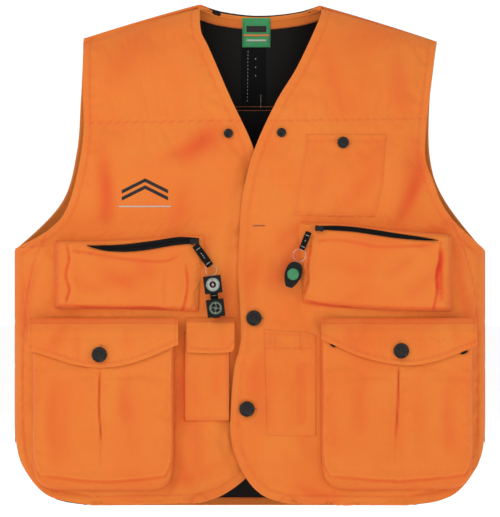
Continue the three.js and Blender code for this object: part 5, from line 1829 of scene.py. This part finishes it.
# Webbing tabs and strap, rings
def webTab(name, top, bottom, wide, y, thick, body, node, bands=()):
    line = straight(*top, *bottom, 30)
    piece = ribbon(name, line, [wide * 0.96, wide, wide, wide * 0.98, wide * 0.9], [y - thick / 2] * 2, thick,
                   blackWebbing, 13, 60)
    finishModifier(piece, "BEVEL", width=0.35 * mm, segments=2, limit_method="ANGLE", angle_limit=0.9)
    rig.ride(piece, body)
    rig.replaces(piece, node)
    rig.slot(piece, "black_webbing")
    run = np.array(bottom, float) - np.array(top, float)
    long = np.linalg.norm(run)
    run /= long
    off = np.array([-run[1], run[0]])
    for share, way in bands:
        a, b = (np.array(top) + run * long * share + off * wide * 0.36 * s for s in (-1, 1))
        if way:
            a, b = (np.array(top) + run * (long * share + s * way) for s in (-1, 1))
        threads.setdefault(body + "Pale", []).append((np.array([a[0], y - thick / 2 - 0.1, a[1]]),
                                                      np.array([b[0], y - thick / 2 - 0.1, b[1]]),
                                                      np.array([0.0, -1.0, 0.0]), 0.32))
    return piece


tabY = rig.box("right_pull_tab")[0].y / mm + 0.9
webTab("rightPullWebbing", (-72.6, -312.4), (-53.2, -339.4), 10, tabY, 1.8, "right_tab", "right_pull_tab",
       ((0.18, 0), (0.86, 0), (0.4, 1.2), (0.5, 1.2), (0.6, 1.2)))
webTab("leftPullWebbing", (74.2, -295.2), (64.9, -318.0), 8, tabY, 1.8, "left_tab", "left_pull_tab",
       ((0.2, 0), (0.84, 0), (0.5, 1.2)))


def coilRing(name, centre, outer, wire, body, node, turns=1.9):
    path = []
    for k in range(int(48 * turns) + 1):
        turn = 2 * math.pi * k / 48 + 0.6
        path.append((centre[0] + (outer - wire) * math.cos(turn),
                     centre[1] - wire * 0.42 + wire * 0.84 * k / (48 * turns),
                     centre[2] + (outer - wire) * math.sin(turn)))
    ring = tube(name, path, wire * 0.46, brightSteel, 10)
    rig.ride(ring, body)
    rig.replaces(ring, node)
    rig.slot(ring, "steel")


for node, name, wire, body in (("split_ring", "gaugeSplitRing", 0.8, "gauge_hanger"),
                               ("light_ring", "lightWireRing", 0.75, "micro_light")):
    low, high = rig.box(node)
    middle = (low + high) / 2 / mm
    coilRing(name, middle, (high.x - low.x) / 2 / mm, wire, body, node)


# Gauges: chamfered cases on a strap, with marks on their dials
def gaugeCase(node, name, bore):
    low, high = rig.box(node)
    middle = (low + high) / 2 / mm
    lean = -0.12
    half = 11.5
    bpy.ops.mesh.primitive_cube_add(size=1)
    piece = bpy.context.object
    onlySelect(piece)
    piece.scale = (2 * half * mm, 2 * half * mm, 7 * mm)
    bpy.ops.object.transform_apply(scale=True)
    bpy.ops.object.mode_set(mode="EDIT")
    bpy.ops.mesh.select_all(action="DESELECT")
    made = bmesh.from_edit_mesh(piece.data)
    for edge in made.edges:
        a, b = (v.co for v in edge.verts)
        edge.select_set(abs(a.x - b.x) < 1e-5 and abs(a.y - b.y) < 1e-5)
    bmesh.update_edit_mesh(piece.data)
    bpy.ops.mesh.bevel(offset=5 * mm, segments=2, affect="EDGES")
    bpy.ops.mesh.select_all(action="DESELECT")
    made = bmesh.from_edit_mesh(piece.data)
    for face in made.faces:
        face.select_set(face.normal.z > 0.9)
    bmesh.update_edit_mesh(piece.data)
    bpy.ops.mesh.inset(thickness=1.0 * mm, depth=0)
    bpy.ops.object.mode_set(mode="OBJECT")
    bpy.ops.mesh.primitive_cylinder_add(vertices=48, radius=bore * mm, depth=9.2 * mm,
                                        location=(0, 0, 3.5 * mm))
    drill = bpy.context.object
    finishModifier(piece, "BOOLEAN", object=drill, operation="DIFFERENCE", solver="EXACT")
    bpy.data.objects.remove(drill)
    finishModifier(piece, "BEVEL", width=0.4 * mm, segments=3, limit_method="ANGLE", angle_limit=0.6)
    onlySelect(piece)
    bpy.ops.object.shade_smooth_by_angle(angle=0.6)
    piece.data.materials.append(caseBlack)
    case = placed(piece, name, 0, 0, 0)
    case.data.transform(Matrix.Rotation(lean, 4, "Y"))
    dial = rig.box(node.replace("_case", "_lens"))
    spot = (dial[0] + dial[1]) / 2
    case.data.transform(Matrix.Translation(Vector((spot.x, (low.y + high.y) / 2, spot.z))))
    bpy.data.objects.remove(piece)
    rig.ride(case, "gauge_hanger")
    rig.replaces(case, node)
    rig.slot(case, "black_plastic")
    return spot / mm


def dialMarks(name, centre, y, body, material, spokes, inner, outer, wide, long=None, start=0.0):
    vertices, faces = [], []
    for k in range(spokes):
        turn = start + 2 * math.pi * k / spokes
        reach = long if long and k % (spokes // 4) == 0 else inner
        c, s = math.cos(turn), math.sin(turn)
        base = len(vertices)
        for depth in (0.0, -0.16):
            for r, w in ((reach, -wide), (reach, wide), (outer, wide), (outer, -wide)):
                vertices.append(((centre[0] + r * s + w * c) * mm, (y + depth) * mm,
                                 (centre[2] + r * c - w * s) * mm))
        faces += [tuple(base + i for i in f) for f in ((0, 1, 2, 3), (7, 6, 5, 4), (0, 4, 5, 1), (1, 5, 6, 2),
                                                       (2, 6, 7, 3), (3, 7, 4, 0))]
    mesh = bpy.data.meshes.new(name)
    mesh.from_pydata(vertices, [], faces)
    mesh.materials.append(material)
    piece = bpy.data.objects.new(name, mesh)
    bpy.context.scene.collection.objects.link(piece)
    turnOutward(piece)
    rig.ride(piece, body)
    return piece


heat = gaugeCase("thermometer_case", "thermometerHousing", 9.2)
north = gaugeCase("compass_case", "compassHousing", 9.2)
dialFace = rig.box("thermometer_dial")[0].y / mm
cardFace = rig.box("compass_card")[0].y / mm
dialMarks("thermometerTicks", heat, dialFace - 0.02, "gauge_hanger", markBlack, 24, 7.4, 8.4, 0.22, 6.6)
dialMarks("compassTicks", north, cardFace - 0.02, "compass_rotor", markPale, 24, 6.0, 8.2, 0.3, 4.0)
dialMarks("compassCross", north, cardFace - 0.02, "compass_rotor", dialWhite, 4, 1.2, 3.2, 0.28, None, 0.4)


def roundPad(name, centre, y, radius, thick, material, body):
    bpy.ops.mesh.primitive_cylinder_add(vertices=36, radius=radius * mm, depth=thick * mm,
                                        end_fill_type="NGON")
    template = bpy.context.object
    onlySelect(template)
    finishModifier(template, "BEVEL", width=min(0.3, thick * 0.3) * mm, segments=2, limit_method="ANGLE",
                   angle_limit=0.6)
    onlySelect(template)
    bpy.ops.object.shade_smooth_by_angle(angle=0.6)
    template.data.materials.append(material)
    piece = placed(template, name, centre[0], y - thick / 2, centre[2])
    bpy.data.objects.remove(template)
    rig.ride(piece, body)
    return piece


roundPad("thermometerHub", heat, dialFace - 0.02, 4.4, 0.5, dialBlack, "gauge_hanger")
roundPad("needleCap", heat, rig.box("thermometer_needle")[0].y / mm, 1.4, 0.5, brightSteel,
         "thermometer_pointer")
roundPad("compassCap", north, cardFace, 1.0, 0.4, brightSteel, "compass_rotor")

webTab("gaugeStrapWebbing", (-51.3, -352.9), (-44.9, -406.3), 10, tabY, 2.0, "gauge_hanger", "gauge_strap",
       ((0.46, 0), (0.56, 0)))
print("gauges made")

# Light: marks on its green button, and finishes for the imported sliders, gauge parts and light
lightSpot = (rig.box("light_button")[0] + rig.box("light_button")[1]) / 2 / mm
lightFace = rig.box("light_button")[0].y / mm
dialMarks("lightButtonMark", lightSpot, lightFace - 0.02, "light_switch", pressGreen, 3, 0.6, 2.6, 0.5, None,
          0.5)

for node, material in {
    "right_zip_slider": blackMetal, "left_zip_slider": blackMetal, "thermometer_dial": dialWhite,
    "thermometer_lens": clearLens, "thermometer_needle": needleRed, "compass_card": dialBlack,
    "compass_lens": clearLens,
    "light_back": caseBlack, "light_front": caseBlack, "light_bulb": bulbGlass, "light_cell_1": cellSteel,
    "light_cell_2": cellSteel, "light_button": pressGreen,
}.items():
    shown = frame["nodes"][node]
    shown.data.materials.clear()
    shown.data.materials.append(material)

# Small dark strips of black cloth at the pocket mouths, under the flap ends
for side, size in cargoSizes.items():
    for number, (x0, z0, x1, z1) in enumerate(size["gap"]):
        line = straight(x0, z0, x1, z1, 12)
        y = float(cargoFace(side, size, np.array([(x0 + x1) / 2]))[0]) - 1.6
        gap = ribbon(f"{side}MouthDarkStrip{number}", line, [0.5, 2.6, 3.4, 2.6, 0.5], [y, y], 0.8, blackNylon, 5,
                     24)
        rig.ride(gap, size["body"])

# Stitch meshes, one for each body or pair of bodies
for group, name, material, place in (
    ("leftCloth", "leftTopstitch", orangeThread, "left_front"),
    ("rightCloth", "rightTopstitch", orangeThread, "right_front"),
    ("leftClothSlit", "leftButtonSlit", blackThread, "left_front"),
    ("emblemBlack", "emblemThread", blackThread, "right_front"),
    ("emblemPale", "emblemPaleThread", paleThread, "right_front"),
):
    piece = stitchPiece(name, group, material)
    overChest(piece, place)
for group, name, material, body in (
    ("backCloth", "backTopstitch", orangeThread, "vest_back"),
    ("leftLow", "leftPocketStitch", orangeThread, "left_front"),
    ("rightLow", "rightPocketStitch", orangeThread, "right_front"),
    ("leftFlap", "leftFlapStitch", orangeThread, "left_flap"),
    ("rightFlap", "rightFlapStitch", orangeThread, "right_flap"),
    ("smallFlap", "smallFlapStitch", orangeThread, "small_flap"),
    ("leftLowSlit", "leftLowSlits", blackThread, "left_front"),
    ("leftFlapSlit", "leftFlapSlitLine", blackThread, "left_flap"),
    ("rightFlapSlit", "rightFlapSlitLine", blackThread, "right_flap"),
    ("insidePale", "insidePaleStitch", paleThread, "vest_back"),
    ("insideOrange", "insideOrangeStitch", orangeThread, "vest_back"),
    ("insideBlack", "insideBlackStitch", blackThread, "vest_back"),
    ("right_tabPale", "rightTabStitch", paleThread, "right_tab"),
    ("left_tabPale", "leftTabStitch", paleThread, "left_tab"),
    ("gauge_hangerPale", "gaugeStrapStitch", paleThread, "gauge_hanger"),
):
    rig.ride(stitchPiece(name, group, material), body)
print("threads made")

for patch in (chestPocket, handPocket):
    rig.slot(patch, "orange_shell")
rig.replaces(chestPocket, "chest_pocket")
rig.replaces(handPocket, "hand_pocket")
overChest(chestPocket, "left_front")
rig.ride(handPocket, "left_front")
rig.sheet(chestPocket, flat=(0.12, 0.108), held="stretched", rests_on=["left_front_upper"], area=0.0112)
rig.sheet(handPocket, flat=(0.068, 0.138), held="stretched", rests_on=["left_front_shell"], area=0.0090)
for flap, flat in ((cargoFlaps["right"][0], (0.197, 0.07)), (cargoFlaps["left"][0], (0.205, 0.068))):
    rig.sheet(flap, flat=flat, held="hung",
             rests_on=["right_front_shell" if "right" in flap.name else "left_front_shell"],
             area=flat[0] * flat[1] * 0.9)
for sheet, area in ((leftShell, 0.196), (rightShell, 0.192), (leftLining, 0.196), (rightLining, 0.192)):
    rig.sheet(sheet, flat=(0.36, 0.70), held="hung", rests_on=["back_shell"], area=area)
for sheet in (backShell, backLining):
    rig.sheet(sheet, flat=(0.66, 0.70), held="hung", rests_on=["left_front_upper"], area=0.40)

# What the shells and linings stand for, and how they bend
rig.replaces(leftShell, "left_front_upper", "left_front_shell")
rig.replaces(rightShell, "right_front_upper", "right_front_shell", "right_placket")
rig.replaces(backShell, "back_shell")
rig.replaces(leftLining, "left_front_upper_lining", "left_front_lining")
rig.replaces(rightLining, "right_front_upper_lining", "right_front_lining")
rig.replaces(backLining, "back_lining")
for piece in (leftShell, rightShell, backShell):
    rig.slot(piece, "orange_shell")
for piece in (leftLining, rightLining, backLining):
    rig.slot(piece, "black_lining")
overChest(leftShell, "left_front")
overChest(leftLining, "left_front")
overChest(rightShell, "right_front")
overChest(rightLining, "right_front")
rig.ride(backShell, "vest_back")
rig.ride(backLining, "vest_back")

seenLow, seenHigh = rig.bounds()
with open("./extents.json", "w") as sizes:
    json.dump({"cad": [list(cadLow), list(cadHigh)], "seen": [list(seenLow), list(seenHigh)]}, sizes)
